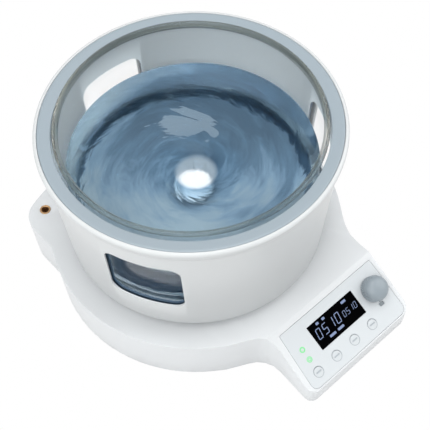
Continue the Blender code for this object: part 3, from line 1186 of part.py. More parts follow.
def build_rear(service):
    """The service plate and its fittings, in the plate's own frame: Z is out of the back, Y is up."""
    half_w, half_h = REAR_PLATE_WIDTH / 2 - SEAT_GAP, REAR_PLATE_HEIGHT / 2 - SEAT_GAP
    low, high = SEAT_GAP, SEAT_GAP + REAR_PLATE_THICKNESS
    bm = bmesh.new()
    add_box(bm, (-half_w, -half_h, low), (half_w, half_h, high))
    plate = place("service_plate", to_mesh("service_plate", bm), "black_plastic", service)
    bm = bmesh.new()
    cut_low, cut_high = low - OVERRUN, high + OVERRUN
    for x, width, height in ((INLET_X, INLET_BODY_WIDTH, INLET_BODY_HEIGHT),
                             (SWITCH_X, SWITCH_BODY_WIDTH, SWITCH_BODY_HEIGHT)):
        w, h = width / 2 + SEAT_GAP, height / 2 + SEAT_GAP
        add_box(bm, (x - w, -h, cut_low), (x + w, h, cut_high))
    add_cylinder(bm, SENSOR_SOCKET_RADIUS + SEAT_GAP, cut_low, cut_high, (SENSOR_SOCKET_X, 0))
    combine(plate, place_cutter("service_cutouts", to_mesh("service_cutouts", bm), service))
    seat = high + SEAT_GAP
    build_inlet(service, seat)
    build_switch(service, seat)
    bottom = seat - SENSOR_SOCKET_DEPTH
    flange = seat + SENSOR_SOCKET_FLANGE
    top = seat + SENSOR_SOCKET_RISE
    profile = [(0, bottom + SENSOR_SOCKET_FLANGE), (SENSOR_SOCKET_BORE, bottom + SENSOR_SOCKET_FLANGE),
               (SENSOR_SOCKET_BORE, top), (SENSOR_SOCKET_RADIUS, top),
               (SENSOR_SOCKET_RADIUS, flange), (SOCKET_FLANGE_RADIUS, flange), (SOCKET_FLANGE_RADIUS, seat),
               (SENSOR_SOCKET_RADIUS, seat),
               (SENSOR_SOCKET_RADIUS, bottom), (0, bottom)]
    turned("sensor_socket", profile, "bearing_steel", service, KEY_STEPS, False, (SENSOR_SOCKET_X, 0, 0))


def build_inlet(service, seat):
    """A mains inlet with three blades in its mouth and a fuse drawer below them."""
    centre = (INLET_X, 0)
    bm = bmesh.new()
    rounded_slab(bm, INLET_FLANGE_WIDTH, INLET_FLANGE_HEIGHT, seat, seat + INLET_FLANGE_THICKNESS,
                 INLET_FLANGE_THICKNESS, centre)
    inlet = place("mains_inlet", to_mesh("mains_inlet", bm), "black_plastic", service)
    bm = bmesh.new()
    w, h = INLET_BODY_WIDTH / 2, INLET_BODY_HEIGHT / 2
    add_box(bm, (INLET_X - w, -h, seat - INLET_BODY_DEPTH),
            (INLET_X + w, h, seat + INLET_FLANGE_THICKNESS / 2))
    combine(inlet, place_cutter("inlet_body", to_mesh("inlet_body", bm), service), "UNION")
    top = seat + INLET_FLANGE_THICKNESS
    mouth_floor = top - INLET_MOUTH_DEPTH
    bm = bmesh.new()
    w, h = INLET_MOUTH_WIDTH / 2, INLET_MOUTH_HEIGHT / 2
    add_box(bm, (INLET_X - w, INLET_MOUTH_RISE - h, mouth_floor),
            (INLET_X + w, INLET_MOUTH_RISE + h, top + OVERRUN))
    upper = [e for e in bm.edges if all(v.co.y > INLET_MOUTH_RISE for v in e.verts)
             and abs(e.verts[0].co.z - e.verts[1].co.z) > INLET_MOUTH_DEPTH / 2]
    bmesh.ops.bevel(bm, geom=upper, offset=INLET_MOUTH_CHAMFER, segments=1, profile=0.5, affect="EDGES")
    combine(inlet, place_cutter("inlet_mouth", to_mesh("inlet_mouth", bm), service))
    w, h = FUSE_DRAWER_WIDTH / 2, FUSE_DRAWER_HEIGHT / 2
    bm = bmesh.new()
    slot_w, slot_h = w + SEAT_GAP, h + SEAT_GAP
    add_box(bm, (INLET_X - slot_w, -FUSE_DRAWER_DROP - slot_h, top - FUSE_DRAWER_DEPTH - SEAT_GAP),
            (INLET_X + slot_w, slot_h - FUSE_DRAWER_DROP, top + OVERRUN))
    combine(inlet, place_cutter("drawer_slot", to_mesh("drawer_slot", bm), service))
    bm = bmesh.new()
    blades = [(0, INLET_EARTH_RISE)]
    blades += [(side * INLET_PIN_SPREAD, -INLET_LINE_DROP) for side in (-1, 1)]
    for x, y in blades:
        across, tall = INLET_PIN_WIDTH / 2, INLET_PIN_HEIGHT / 2
        root = mouth_floor - INLET_FLANGE_THICKNESS
        add_box(bm, (INLET_X + x - across, INLET_MOUTH_RISE + y - tall, root),
                (INLET_X + x + across, INLET_MOUTH_RISE + y + tall, mouth_floor + INLET_PIN_LENGTH))
    combine(inlet, place_cutter("inlet_blades", to_mesh("inlet_blades", bm), service), "UNION")
    bm = bmesh.new()
    add_box(bm, (-w, -h, -FUSE_DRAWER_DEPTH), (w, h, 0))
    face = max(bm.faces, key=lambda f: f.calc_center_median().z)
    bmesh.ops.inset_region(bm, faces=[face], thickness=FUSE_DRAWER_HEIGHT / 6,
                           depth=-FUSE_DRAWER_HEIGHT / 12)
    place("fuse_drawer", to_mesh("fuse_drawer", bm), "black_plastic", service,
          (INLET_X, -FUSE_DRAWER_DROP, top))


def build_switch(service, seat):
    """The mains switch: a frame with a rocker that pivots on a cross axis."""
    centre = (SWITCH_X, 0)
    pivot_z = seat - ROCKER_DEPTH
    bm = bmesh.new()
    rounded_slab(bm, SWITCH_FLANGE_WIDTH, SWITCH_FLANGE_HEIGHT, seat, seat + SWITCH_FLANGE_THICKNESS,
                 SWITCH_WALL, centre)
    frame = place("switch_frame", to_mesh("switch_frame", bm), "black_plastic", service)
    bm = bmesh.new()
    w, h = SWITCH_BODY_WIDTH / 2, SWITCH_BODY_HEIGHT / 2
    add_box(bm, (SWITCH_X - w, -h, seat - SWITCH_BODY_DEPTH),
            (SWITCH_X + w, h, seat + SWITCH_FLANGE_THICKNESS / 2))
    combine(frame, place_cutter("switch_body", to_mesh("switch_body", bm), service), "UNION")
    bm = bmesh.new()
    w, h = w - SWITCH_WALL, h - SWITCH_WALL
    add_box(bm, (SWITCH_X - w, -h, seat - SWITCH_BODY_DEPTH + SWITCH_WALL),
            (SWITCH_X + w, h, seat + SWITCH_FLANGE_THICKNESS + OVERRUN))
    combine(frame, place_cutter("switch_hollow", to_mesh("switch_hollow", bm), service))

    rocker_half = w - SEAT_GAP
    tilt = ROCKER_SWING / 2
    crest = ROCKER_DEPTH + SWITCH_FLANGE_THICKNESS + ROCKER_PROUD
    reach = (h - SEAT_GAP - crest * math.sin(tilt)) / math.cos(tilt)
    keel = ROCKER_DEPTH / 2
    outline = [(-reach, crest), (0, crest - reach * math.tan(tilt)), (reach, crest), (reach / 2, -keel),
               (-reach / 2, -keel)]
    bm = bmesh.new()
    front = bm.faces.new([bm.verts.new((-rocker_half, y, z)) for y, z in outline])
    made = bmesh.ops.extrude_face_region(bm, geom=[front])["geom"]
    far = [v for v in made if isinstance(v, bmesh.types.BMVert)]
    bmesh.ops.translate(bm, vec=(2 * rocker_half, 0, 0), verts=far)
    place("power_rocker", to_mesh("power_rocker", bm), "black_plastic", service, (SWITCH_X, 0, pivot_z),
          (tilt, 0, 0))


def build_power_board(axis):
    low = PLATE_TOP + POWER_POST_HEIGHT + SEAT_GAP
    high = low + BOARD_THICKNESS
    bm = bmesh.new()
    rounded_slab(bm, POWER_BOARD_WIDTH, POWER_BOARD_LENGTH, low, high, DISPLAY_FLANGE,
                 (POWER_BOARD_X, POWER_BOARD_Y))
    board = place("power_board", to_mesh("power_board", bm), "circuit_board", axis)
    bm = bmesh.new()
    for centre in power_post_places():
        add_cylinder(bm, PEG_RADIUS + SEAT_GAP, low - OVERRUN, high + OVERRUN, centre, SCREW_STEPS)
    combine(board, place_cutter("power_board_holes", to_mesh("power_board_holes", bm), axis))
    seat = high + SEAT_GAP
    column = POWER_BOARD_X - POWER_BOARD_WIDTH / 2
    supply_x = POWER_BOARD_X + POWER_BOARD_WIDTH / 2 - SUPPLY_WIDTH / 2 - DISPLAY_FLANGE
    block("supply_module", SUPPLY_WIDTH, SUPPLY_LENGTH, seat, seat + SUPPLY_HEIGHT, DISPLAY_FLANGE,
          "black_plastic", axis, (supply_x, POWER_BOARD_Y))
    sink_x = column + HEATSINK_WIDTH / 2 + DISPLAY_FLANGE
    bm = bmesh.new()
    add_box(bm, (sink_x - HEATSINK_WIDTH / 2, POWER_BOARD_Y - HEATSINK_LENGTH / 2, seat),
            (sink_x + HEATSINK_WIDTH / 2, POWER_BOARD_Y + HEATSINK_LENGTH / 2, seat + HEATSINK_HEIGHT))
    sink = place("triac_heatsink", to_mesh("triac_heatsink", bm), "brushed_aluminium", axis)
    pitch = HEATSINK_WIDTH / (2 * HEATSINK_FINS - 1)
    bm = bmesh.new()
    for i in range(HEATSINK_FINS - 1):
        x = sink_x - HEATSINK_WIDTH / 2 + pitch * (2 * i + 1)
        add_box(bm, (x, POWER_BOARD_Y - HEATSINK_LENGTH / 2 - OVERRUN, seat + HEATSINK_BASE),
                (x + pitch, POWER_BOARD_Y + HEATSINK_LENGTH / 2 + OVERRUN, seat + HEATSINK_HEIGHT + OVERRUN))
    combine(sink, place_cutter("fin_gaps", to_mesh("fin_gaps", bm), axis))
    bm = bmesh.new()
    along = SUPPLY_LENGTH / 2 + CAPACITOR_RADIUS + DISPLAY_FLANGE
    for side in (-1, 1):
        add_cylinder(bm, CAPACITOR_RADIUS, high - BOARD_THICKNESS / 2, high + CAPACITOR_HEIGHT,
                     (supply_x - DISPLAY_FLANGE, POWER_BOARD_Y + side * along), SHAFT_STEPS // 2)
    combine(board, place_cutter("capacitors", to_mesh("capacitors", bm), axis), "UNION")


def build_bath():
    axis = bpy.data.objects.new("drum_axis", None)
    axis.location = (0, DRUM_AXIS_BACK, 0)
    PARTS.objects.link(axis)
    panel = bpy.data.objects.new("panel_frame", None)
    panel.parent = axis
    panel.location = (FACEPLATE_CENTRE_X, -CREST_REACH - PANEL_CENTRE_DROP * math.cos(PANEL_SLOPE),
                      DECK_HEIGHT - PANEL_CENTRE_DROP * math.sin(PANEL_SLOPE))
    panel.rotation_euler = (PANEL_SLOPE, 0, 0)
    PARTS.objects.link(panel)
    service = bpy.data.objects.new("service_frame", None)
    service.parent = axis
    service.location = (0, rear_seat_y(), REAR_PLATE_MIDDLE)
    service.rotation_euler = (math.pi / 2, 0, math.pi)
    PARTS.objects.link(service)
    build_housing(axis, panel)
    build_base_plate(axis)
    build_motor(axis)
    build_drum(axis)
    build_heater(axis)
    build_basin(axis)
    build_rod_bush(axis)
    build_panel(panel)
    build_rear(service)
    build_power_board(axis)


clear_scene()
PARTS = new_collection("stirring_water_bath")
CUTTERS = new_collection("cutters")
build_bath()
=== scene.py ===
"""Looks of the magnetic stirring water bath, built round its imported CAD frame.

A white drum stands on a low base with a sloping control panel. The drum holds a
grey liner with three windows and a glass basin of stirred, bluish water. The
drum, the liner, the basin and the knob are modelled afresh with fine rounding,
the housing, the faceplate and the display lens are dressed copies of the CAD,
and the water, the small panel marks and the lamps' rings are new.
"""

import json
import math

import bpy
from mathutils import Matrix, Vector

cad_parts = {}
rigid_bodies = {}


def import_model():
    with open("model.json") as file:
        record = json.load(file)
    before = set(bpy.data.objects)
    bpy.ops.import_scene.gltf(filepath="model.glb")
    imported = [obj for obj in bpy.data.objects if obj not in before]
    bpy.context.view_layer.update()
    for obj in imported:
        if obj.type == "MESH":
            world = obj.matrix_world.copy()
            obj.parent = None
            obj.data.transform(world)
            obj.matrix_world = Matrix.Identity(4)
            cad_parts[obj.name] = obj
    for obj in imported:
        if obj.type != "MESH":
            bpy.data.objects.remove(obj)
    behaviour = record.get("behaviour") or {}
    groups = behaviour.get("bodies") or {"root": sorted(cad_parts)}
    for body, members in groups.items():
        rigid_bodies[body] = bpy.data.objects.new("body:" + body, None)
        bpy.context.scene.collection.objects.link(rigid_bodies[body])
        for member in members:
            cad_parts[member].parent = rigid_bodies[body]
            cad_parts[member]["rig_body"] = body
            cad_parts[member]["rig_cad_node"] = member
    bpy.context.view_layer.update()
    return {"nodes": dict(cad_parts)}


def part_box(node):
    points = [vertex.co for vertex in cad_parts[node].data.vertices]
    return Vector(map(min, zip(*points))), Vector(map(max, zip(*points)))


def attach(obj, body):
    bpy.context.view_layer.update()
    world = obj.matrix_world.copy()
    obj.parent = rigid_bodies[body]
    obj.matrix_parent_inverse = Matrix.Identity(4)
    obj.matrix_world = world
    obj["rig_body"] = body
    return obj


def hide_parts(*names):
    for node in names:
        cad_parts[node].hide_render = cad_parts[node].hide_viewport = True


MM = 0.001
TAU = 2 * math.pi
GAP = 0.3 * MM
AXIS_HOLE = 0.1 * MM  # the radius at which a turned piece closes on its axis
TOP_DEPTH = 0.1 * MM  # how deep under a top its vertices still belong to it

# Fineness, with angles in degrees
FINE_STEPS = 192
KNOB_STEPS = 144
RING_STEPS = 64
DISC_STEPS = 96
WATER_RINGS = 48
CORNER_STEPS = 12
ROUND_STEPS = 8
COLLAR_STEPS = 5
BEVEL_STEPS = 3
CLEAR_SMOOTH = 60
DISC_SMOOTH = 40
RING_SMOOTH = 35
KNOB_SMOOTH = 32
CREASE_ANGLE = 32
MERGE_ANGLE = 0.5
MERGE_DISTANCE = 0.01 * MM
CAD_MERGE_DISTANCE = 0.02 * MM

# Drum and collar
SHELL_WALL = 1.7 * MM
SHELL_FLARE = 0.0775
SHELL_FLOOR_WIDTH = 45 * MM
SHELL_FOOT_CHAMFER = 0.7 * MM
RIM_BAND = 14 * MM
RIM_OVERHANG = 3.6 * MM
RIM_ROUND = 2.8 * MM
RIM_WIDTH = 3.4 * MM
RIM_STEP = 0.5 * MM
RIM_STEP_SHARE = 1.6
RIM_DRAFT = (0.2 * MM, 1.5 * MM)  # inwards and downwards
RIM_CHAMFER = 0.2 * MM
LINER_WALL = 2 * MM
LINER_FLARE = 0.043
LINER_CLEARANCE = 0.8 * MM
# Painted shade on the liner's outer side and window edges under the collar's lip: its colour, and how far
# behind the inner face it starts
LINER_EDGE_SHADE = (0.05, 0.09, 0.14, 1)
LINER_EDGE_DEPTH = 0.12 * MM
COLLAR_THICKNESS = 3 * MM
COLLAR_CLEARANCE = 1.4 * MM
COLLAR_FALL = 1.2 * MM
COLLAR_LIP = 7 * MM
COLLAR_ROUND = 0.8 * MM
# The collar's outer edge: how far in and how far down its points lie
COLLAR_EDGE = ((0, 0.6 * MM), (0.2 * MM, 0.2 * MM), (0.7 * MM, 0))
WINDOW_AZIMUTHS = (-151.5, -31.5, 88.5)
WINDOW_WIDTH = 68.7 * MM
WINDOW_HEIGHT = 67.8 * MM
WINDOW_SILL = 34.1 * MM
WINDOW_CORNER = 10.7 * MM
WINDOW_CUT_SHARE = 0.75
# Rounded edges: their width, and the angle in degrees from which an edge is rounded
MOULDED_ROUND = (0.5 * MM, 50)
HOUSING_ROUND = (0.8 * MM, 50)
FACEPLATE_ROUND = (0.3 * MM, 30)
LENS_ROUND = (0.15 * MM, 30)

# Basin
GLASS_IOR = 1.47
GLASS_GLEAM = (0.75, 0.88, 1, 1)
GLASS_TINT = (0.985, 0.995, 1, 1)
BASIN_WALL = 2.8 * MM
BASIN_FLOOR = 3.5 * MM
BASIN_CORNER = 16 * MM
LIP_HEIGHT = 5 * MM
LIP_OVERHANG = 2.7 * MM
LIP_NECK = 1.6 * MM
LIP_NECK_SHARE = 0.6
WALL_CLEARNESS = 0.9
LIP_CLEARNESS = 0.3
LIP_TINT = (0.42, 0.42, 0.34, 1)
# A ragged ring of painted shade at the basin's inner corner: its colour, lean, noise, start, raggedness,
# top and wave
CORNER_SHADE = (0.16, 0.22, 0.28, 1)
CORNER_LEAN = (0.01, 0.035, 0)
CORNER_NOISE = {"Scale": 60, "Detail": 4}
CORNER_START = (111 * MM, 113 * MM)
CORNER_RAGGED = 13 * MM
CORNER_TOP = (22 * MM, 20 * MM)
CORNER_WAVE = 12 * MM

# Water
WATER_IOR = 1.33
WATER_GLEAM = (0.6, 0.8, 0.95, 1)
WATER_SHADE = (0.93, 0.965, 1, 1)
WATER_DEPTH = 64 * MM
SIDE_TINT = (0.85, 0.93, 0.98, 1)
# Painted shade, near black, on the water's side where the windows look in: its colour, its edge and its
# foot
WINDOW_SHADE = (0.008, 0.025, 0.06, 1)
WINDOW_EDGE = (0.35, 0.6)
WINDOW_SHADE_FOOT = 8 * MM
DIP_DEPTH = 3.5 * MM
DIP_RADIUS = 30 * MM
FUNNEL_DEPTH = 8 * MM
FUNNEL_RADIUS = 18 * MM
STILL_EDGE = 20 * MM
EYE_SHIFT = (-7 * MM, -12 * MM)
CLEAR_EYE = (15 * MM, 20 * MM)
EYE_REACH = 100 * MM
# The colours on the way outwards from the eye, with a painted dark ring of shade round the funnel, and
# those from a dark streak to a light one, painted light and shade on the water
EYE_TONES = ((0.0, (1, 1, 1, 1)), (0.17, (0.98, 1, 1, 1)), (0.21, (0.28, 0.4, 0.5, 1)),
             (0.3, (0.68, 0.8, 0.88, 1)), (0.5, (1, 1, 1, 1)))
STREAK_TONES = ((0.2, (0.07, 0.13, 0.2, 1)), (0.45, (0.13, 0.25, 0.38, 1)),
                (0.62, (0.36, 0.58, 0.78, 1)), (0.85, (0.78, 0.97, 1, 1)))
# Painted light: how fast the streaks grow lighter towards the front left
STREAK_LIGHT_SLANT = (-3.35, -2.65, 0)
# Added light: where it starts, where it is full, and how much there is at both
RIM_LIGHT = (92 * MM, 106 * MM, 0, 0.26)
REAR_LIGHT = (62 * MM, 98 * MM, 0, 0.34)
STREAK_NOISE = {"Scale": 1, "Detail": 5, "Roughness": 0.6, "Distortion": 0.5}
RIPPLE_NOISE = {"Scale": 48, "Detail": 4, "Distortion": 1}
SPIRAL_TURN = -1.6  # radians for each e-fold of the distance from the eye
SPIRAL_CORE = 6 * MM
SPIRAL_SPREAD = 1.5
SPIRAL_RINGS = 62
RIPPLE_BUMP = {"Strength": 0.5, "Distance": 2.2 * MM}
# A pale, ragged patch of painted reflection behind the eye: its place, turn, reach, colour, raggedness and
# edge
PATCH_PLACE = (27 * MM, 46 * MM)
PATCH_TURN = math.radians(-40)
PATCH_REACH = (31 * MM, 18 * MM)
PATCH_REFLECTION = (0.5, 0.6, 0.68, 1)
PATCH_RAGGED = 3
PATCH_EDGE = (2.45, 2.4)
BLUR_THICKNESS = 3 * MM
BLUR_INSET = 0.5 * MM

# Panel, in its own frame; a digit's size is its width, height and thickness
PANEL_SLOPE = math.radians(29)
PANEL_BACK = -80 * MM
FACEPLATE_THICKNESS = 2 * MM
MARK_RISE = 0.05 * MM
DIGIT_SLANT = math.radians(10)
BIG_DIGIT = (4.6 * MM, 9.4 * MM, 0.72 * MM)
BIG_START = (-22.4 * MM, 0.7 * MM)
BIG_PITCH = 8.2 * MM
SMALL_DIGIT = (2.8 * MM, 5.6 * MM, 0.42 * MM)
SMALL_START = (10.2 * MM, -0.6 * MM)
SMALL_PITCH = 4.8 * MM
SEGMENTS = {"0": "abcdef", "1": "bc", "5": "acdfg"}
SEGMENT_TRIM = 0.4  # these three are shares of a segment's thickness
SEGMENT_GAP = 0.125
SEGMENT_ROUND = 0.3
READING = "0510"
# The display's bars, in millimetres: place across, place up and width
TAGS = ((-18.2, 9.3, 3.2), (-10.4, 9.3, 3.2), (16.3, 9.0, 5.6), (-11.6, -8.1, 7.6), (-1.0, -8.1, 7.6))
TAG_HEIGHT = 2.3 * MM
TAG_ROUND = 0.5 * MM
KEYS = 4
KEY_RING = (5.42 * MM, 5.02 * MM)
KEY_BAR = (6 * MM, 1.2 * MM)
KEY_BAR_ROUND = 0.4 * MM
# The lamps' rings: material, outer and inner radius in millimetres
LAMPS = {"upper_lamp": (("lamp_green", 2.9, 1.5), ("lamp_white", 1.5, 0.1)),
         "lower_lamp": (("lamp_green", 2.9, 2.0), ("lamp_white", 2.0, 1.6), ("lamp_green", 1.6, 0.9),
                        ("lamp_white", 0.9, 0.1))}
KNOB_RADIUS = 12.5 * MM
KNOB_WALL = 1 * MM
KNOB_HOLLOW = 6 * MM
KNOB_SKIRT = 8.2 * MM
KNOB_STEP = 0.5 * MM
KNOB_FOOT_CHAMFER = (0.2 * MM, 0.3 * MM)
KNOB_SKIRT_CHAMFER = 0.6 * MM
KNOB_DOME_POWER = 0.8
KNOB_DOME_STEP = 5  # degrees
KNOB_FLUTE_STEPS = 4
KNOB_FLUTE_DEPTH = 0.6 * MM
KNOB_FLUTE_EDGE = 0.4 * MM
KNOB_FLUTE_TOP = 0.2 * MM
PRESS_PLACE = (-0.9 * MM, -16.2 * MM)
# The press sign's bars: width, height, place across, place up and corner in millimetres, turn in degrees
PRESS_SIGN = (("press_block", 5.2, 3.4, 0, 0, 0.6, 0), ("press_stem", 0.4, 1.6, 0, 3, 0.1, 0),
              ("press_head", 1.4, 0.4, -0.4, 2.5, 0.1, -45), ("press_head", 1.4, 0.4, 0.4, 2.5, 0.1, 45))

# Plain materials: colour as it reads on screen, roughness and what differs from the usual
PLAIN = {
    "white_housing": ((210, 213, 215), 0.36, {"drift": 0.01}),
    "drum_white": ((199, 202, 203), 0.36, {"drift": 0.01}),
    "black_plastic": ((28, 29, 32), 0.5, {"grain": 0.1}),
    "brushed_aluminium": ((190, 192, 196), 0.38, {"metallic": 1, "grain": 0.3, "stretch": (1, 0.05, 1)}),
    "zinc_steel": ((176, 180, 186), 0.34, {"metallic": 1, "drift": 0.1}),
    "bearing_steel": ((160, 164, 170), 0.22, {"metallic": 1}),
    "brass": ((206, 168, 124), 0.45, {"metallic": 1, "drift": 0.06}),
    "hot_plate_grey": ((172, 182, 189), 0.5, {"drift": 0.1}),
    "mineral_board": ((212, 203, 182), 0.9, {"grain": 0.6, "grain_scale": 300}),
    "mica": ((160, 128, 92), 0.5, {"drift": 0.2, "drift_scale": 60}),
    "copper_winding": ((184, 108, 62), 0.3, {"metallic": 1, "grain": 0.6, "stretch": (1, 1, 0.1)}),
    "magnet_nickel": ((200, 200, 196), 0.2, {"metallic": 1}),
    "ptfe": ((244, 246, 247), 0.4, {}),
    "faceplate": ((198, 203, 206), 0.45, {"drift": 0.01}),
    "display_lens": ((4, 4, 5), 0.3, {"drift": 0.0, "specular": 0.0}),
    "display_glass": ((50, 60, 66), 0.15, {"drift": 0.05}),
    "circuit_board": ((26, 84, 52), 0.4, {"drift": 0.15, "drift_scale": 200}),
    "key_plastic": ((196, 201, 204), 0.4, {"drift": 0.01}),
    "knob_grey": ((138, 148, 155), 0.34, {"drift": 0.02}),
    "grey_print": ((130, 138, 143), 0.5, {"drift": 0.0}),
    "light_print": ((146, 154, 160), 0.5, {"drift": 0.0}),
    "faint_print": ((170, 177, 182), 0.5, {"drift": 0.0}),
    "rubber": ((44, 45, 46), 0.75, {"grain": 0.3}),
}
GRAIN_DEPTH = 0.1 * MM
# Lit materials: the light's colour, its strength and the unlit colour
LIT = {
    "lamp_green": ((90, 235, 125), 0.2, (0.2, 0.52, 0.26, 1)),
    "lamp_white": ((240, 255, 246), 0.05, (0.5, 0.57, 0.54, 1)),
    "lcd_light": ((136, 154, 192), 0.95, (0.01, 0.01, 0.01, 1)),
}
LINER_TONES = ((238, 250, 255), (144, 156, 164))
LINER_ROUGHNESS = 0.34
LINER_DRIFT = 0.02
LIT_ROUGHNESS = 0.5
TONE_EDGE = 1 * MM  # the height over which two tones meet

# Stage, lamps and camera
STAGE_SIZE = 12
STAGE_WHITE = (0.8, 0.8, 0.8, 1)
STAGE_ROUGHNESS = 0.9
WORLD_STRENGTH = 0.5
# The studio's lamps: name, place, size and power
STUDIO = (("key", (-1.2, -0.3, 1.45), 2.4, 34), ("fill", (1.5, -0.7, 1.4), 1.8, 22),
          ("top", (0.1, 0.2, 1.7), 0.7, 7))
STUDIO_AIM = (0, 0.03, 0.12)
# The camera was solved from the photo in units of the rim circle's radius
RIM_CIRCLE = 134 * MM
CAMERA_ELEVATION = math.radians(55.24)
CAMERA_ROLL = math.radians(-1.97)
CAMERA_DISTANCE = 7.449
CAMERA_TARGET = (0.1026, -0.0892, 0.449)
CAMERA_HEADING = (0.656, 0.755, 0)
CAMERA_LENS = 85.3
CAMERA_SENSOR = 36


# Modelling

def deselect():
    if bpy.context.mode != "OBJECT":
        bpy.ops.object.mode_set(mode="OBJECT")
    bpy.ops.object.select_all(action="DESELECT")


def activate(*items):
    """Selects the items alone, with the first one active."""
    deselect()
    for item in items:
        item.select_set(True)
    bpy.context.view_layer.objects.active = items[0]


def name_piece(item, name):
    item.name = name
    item.data.name = name
    return item


def finish_piece(item, body, material, node=None):
    """Places a finished piece in the shared frame and ties it to its CAD body."""
    activate(item)
    bpy.ops.object.transform_apply(location=True, rotation=True, scale=True)
    item.data.materials.clear()
    item.data.materials.append(material)
    if node:
        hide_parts(node)
    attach(item, body)
    return item


def apply_modifier(item, name):
    activate(item)
    bpy.ops.object.modifier_apply(modifier=name)


def smooth(item, degrees):
    activate(item)
    bpy.ops.object.shade_smooth_by_angle(angle=math.radians(degrees))


def turned(name, centre, profile, steps=FINE_STEPS):
    """A closed profile of (radius, height) points, turned about an upright axis."""
    deselect()
    first_radius, first_height = profile[0]
    bpy.ops.mesh.primitive_circle_add(vertices=steps, radius=first_radius, fill_type="NOTHING",
                                      location=(*centre, first_height))
    item = name_piece(bpy.context.active_object, name)
    bpy.ops.object.transform_apply(location=True, rotation=False, scale=False)
    bpy.ops.object.mode_set(mode="EDIT")
    bpy.ops.mesh.select_mode(type="EDGE")
    bpy.ops.mesh.select_all(action="SELECT")
    for (radius, height), (next_radius, next_height) in zip(profile, [*profile[1:], profile[0]]):
        bpy.ops.mesh.extrude_edges_move(TRANSFORM_OT_translate={"value": (0, 0, next_height - height)})
        scale = next_radius / radius
        bpy.ops.transform.resize(value=(scale, scale, 1), center_override=(*centre, next_height))
    bpy.ops.mesh.select_all(action="SELECT")
    bpy.ops.mesh.remove_doubles(threshold=MERGE_DISTANCE)
    bpy.ops.mesh.normals_make_consistent(inside=False)
    bpy.ops.object.mode_set(mode="OBJECT")
    return item


def arc(centre_r, centre_z, radius, start, end, count):
    """Profile points on an arc, its angles in degrees from straight outwards, upwards positive."""
    angles = [math.radians(start + (end - start) * i / count) for i in range(count + 1)]
    return [(centre_r + radius * math.cos(a), centre_z + radius * math.sin(a)) for a in angles]


def cut(item, tool):
    modifier = item.modifiers.new("cut", "BOOLEAN")
    modifier.operation = "DIFFERENCE"
    modifier.solver = "EXACT"
    modifier.object = tool
    apply_modifier(item, "cut")


def bevelled(item, width, angle):
    modifier = item.modifiers.new("edges", "BEVEL")
    modifier.width = width
    modifier.segments = BEVEL_STEPS
    modifier.limit_method = "ANGLE"
    modifier.angle_limit = math.radians(angle)
    modifier.harden_normals = True
    smooth(item, angle)
    apply_modifier(item, "edges")


def subdivided(item, finer_behind):
    """One subdivision that rounds the arcs behind a given y and keeps every sharp edge."""
    activate(item)
    bpy.ops.object.mode_set(mode="EDIT")
    bpy.ops.mesh.select_all(action="DESELECT")
    bpy.ops.mesh.select_mode(type="FACE")
    bpy.ops.mesh.select_face_by_sides(number=4, type="GREATER")
    bpy.ops.mesh.quads_convert_to_tris(ngon_method="BEAUTY")
    bpy.ops.mesh.select_all(action="DESELECT")
    bpy.ops.mesh.select_mode(type="EDGE")
    bpy.ops.mesh.edges_select_sharp(sharpness=math.radians(CREASE_ANGLE))
    bpy.ops.object.mode_set(mode="OBJECT")
    for edge in item.data.edges:
        if max(item.data.vertices[i].co.y for i in edge.vertices) < finer_behind:
            edge.select = True
    bpy.ops.object.mode_set(mode="EDIT")
    bpy.ops.transform.edge_crease(value=1)
    bpy.ops.object.mode_set(mode="OBJECT")
    modifier = item.modifiers.new("arcs", "SUBSURF")
    modifier.levels = 1
    apply_modifier(item, "arcs")


def dress(node, rounding, finer_behind=None):
    """A copy of a CAD node of the base with rounded edges, its arcs finer behind a given y."""
    source = frame["nodes"][node]
    item = source.copy()
    item.data = source.data.copy()
    item.name = node + "_finish"
    item.parent = None
    bpy.context.scene.collection.objects.link(item)
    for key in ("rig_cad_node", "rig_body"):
        if key in item:
            del item[key]
    activate(item)
    bpy.ops.object.mode_set(mode="EDIT")
    bpy.ops.mesh.select_all(action="SELECT")
    bpy.ops.mesh.remove_doubles(threshold=CAD_MERGE_DISTANCE)
    bpy.ops.mesh.dissolve_limited(angle_limit=math.radians(MERGE_ANGLE))
    bpy.ops.mesh.normals_make_consistent(inside=False)
    bpy.ops.object.mode_set(mode="OBJECT")
    if finer_behind is not None:
        subdivided(item, finer_behind)
    bevelled(item, *rounding)
    slot = SLOT_OF[node]
    return finish_piece(item, "base", MATERIALS[slot], node)


def rounded_block(name, size, centre, corner, segments, rotation=(0, 0, 0)):
    """A block with its four upright edges rounded."""
    deselect()
    bpy.ops.mesh.primitive_cube_add(size=1, location=centre, rotation=rotation)
    item = name_piece(bpy.context.active_object, name)
    item.scale = size
    bpy.ops.object.transform_apply(location=False, rotation=False, scale=True)
    for edge in item.data.edges:
        a, b = (item.data.vertices[i].co for i in edge.vertices)
        edge.select = abs(a.z - b.z) > size[2] / 2
    for vertex in item.data.vertices:
        vertex.select = False
    bpy.ops.object.mode_set(mode="EDIT")
    bpy.ops.mesh.select_mode(type="EDGE")
    bpy.ops.mesh.bevel(offset=corner, offset_type="OFFSET", segments=segments, affect="EDGES")
    bpy.ops.object.mode_set(mode="OBJECT")
    return item


# Shader nodes

def feed(tree, node, terms):
    """Sets inputs by name or number: a socket is linked, and anything else is the input's value."""
    for key, term in terms.items():
        if isinstance(term, bpy.types.NodeSocket):
            tree.links.new(term, node.inputs[key])
        else:
            node.inputs[key].default_value = term
    return node


def add(tree, kind, terms=None, **settings):
    """A new shader node with its settings and its inputs."""
    node = tree.nodes.new("ShaderNode" + kind)
    for key, value in settings.items():
        setattr(node, key, value)
    return feed(tree, node, terms or {})


def maths(tree, operation, *terms, clamp=False):
    """The result of a Math node over its terms."""
    return add(tree, "Math", dict(enumerate(terms)), operation=operation, use_clamp=clamp).outputs[0]


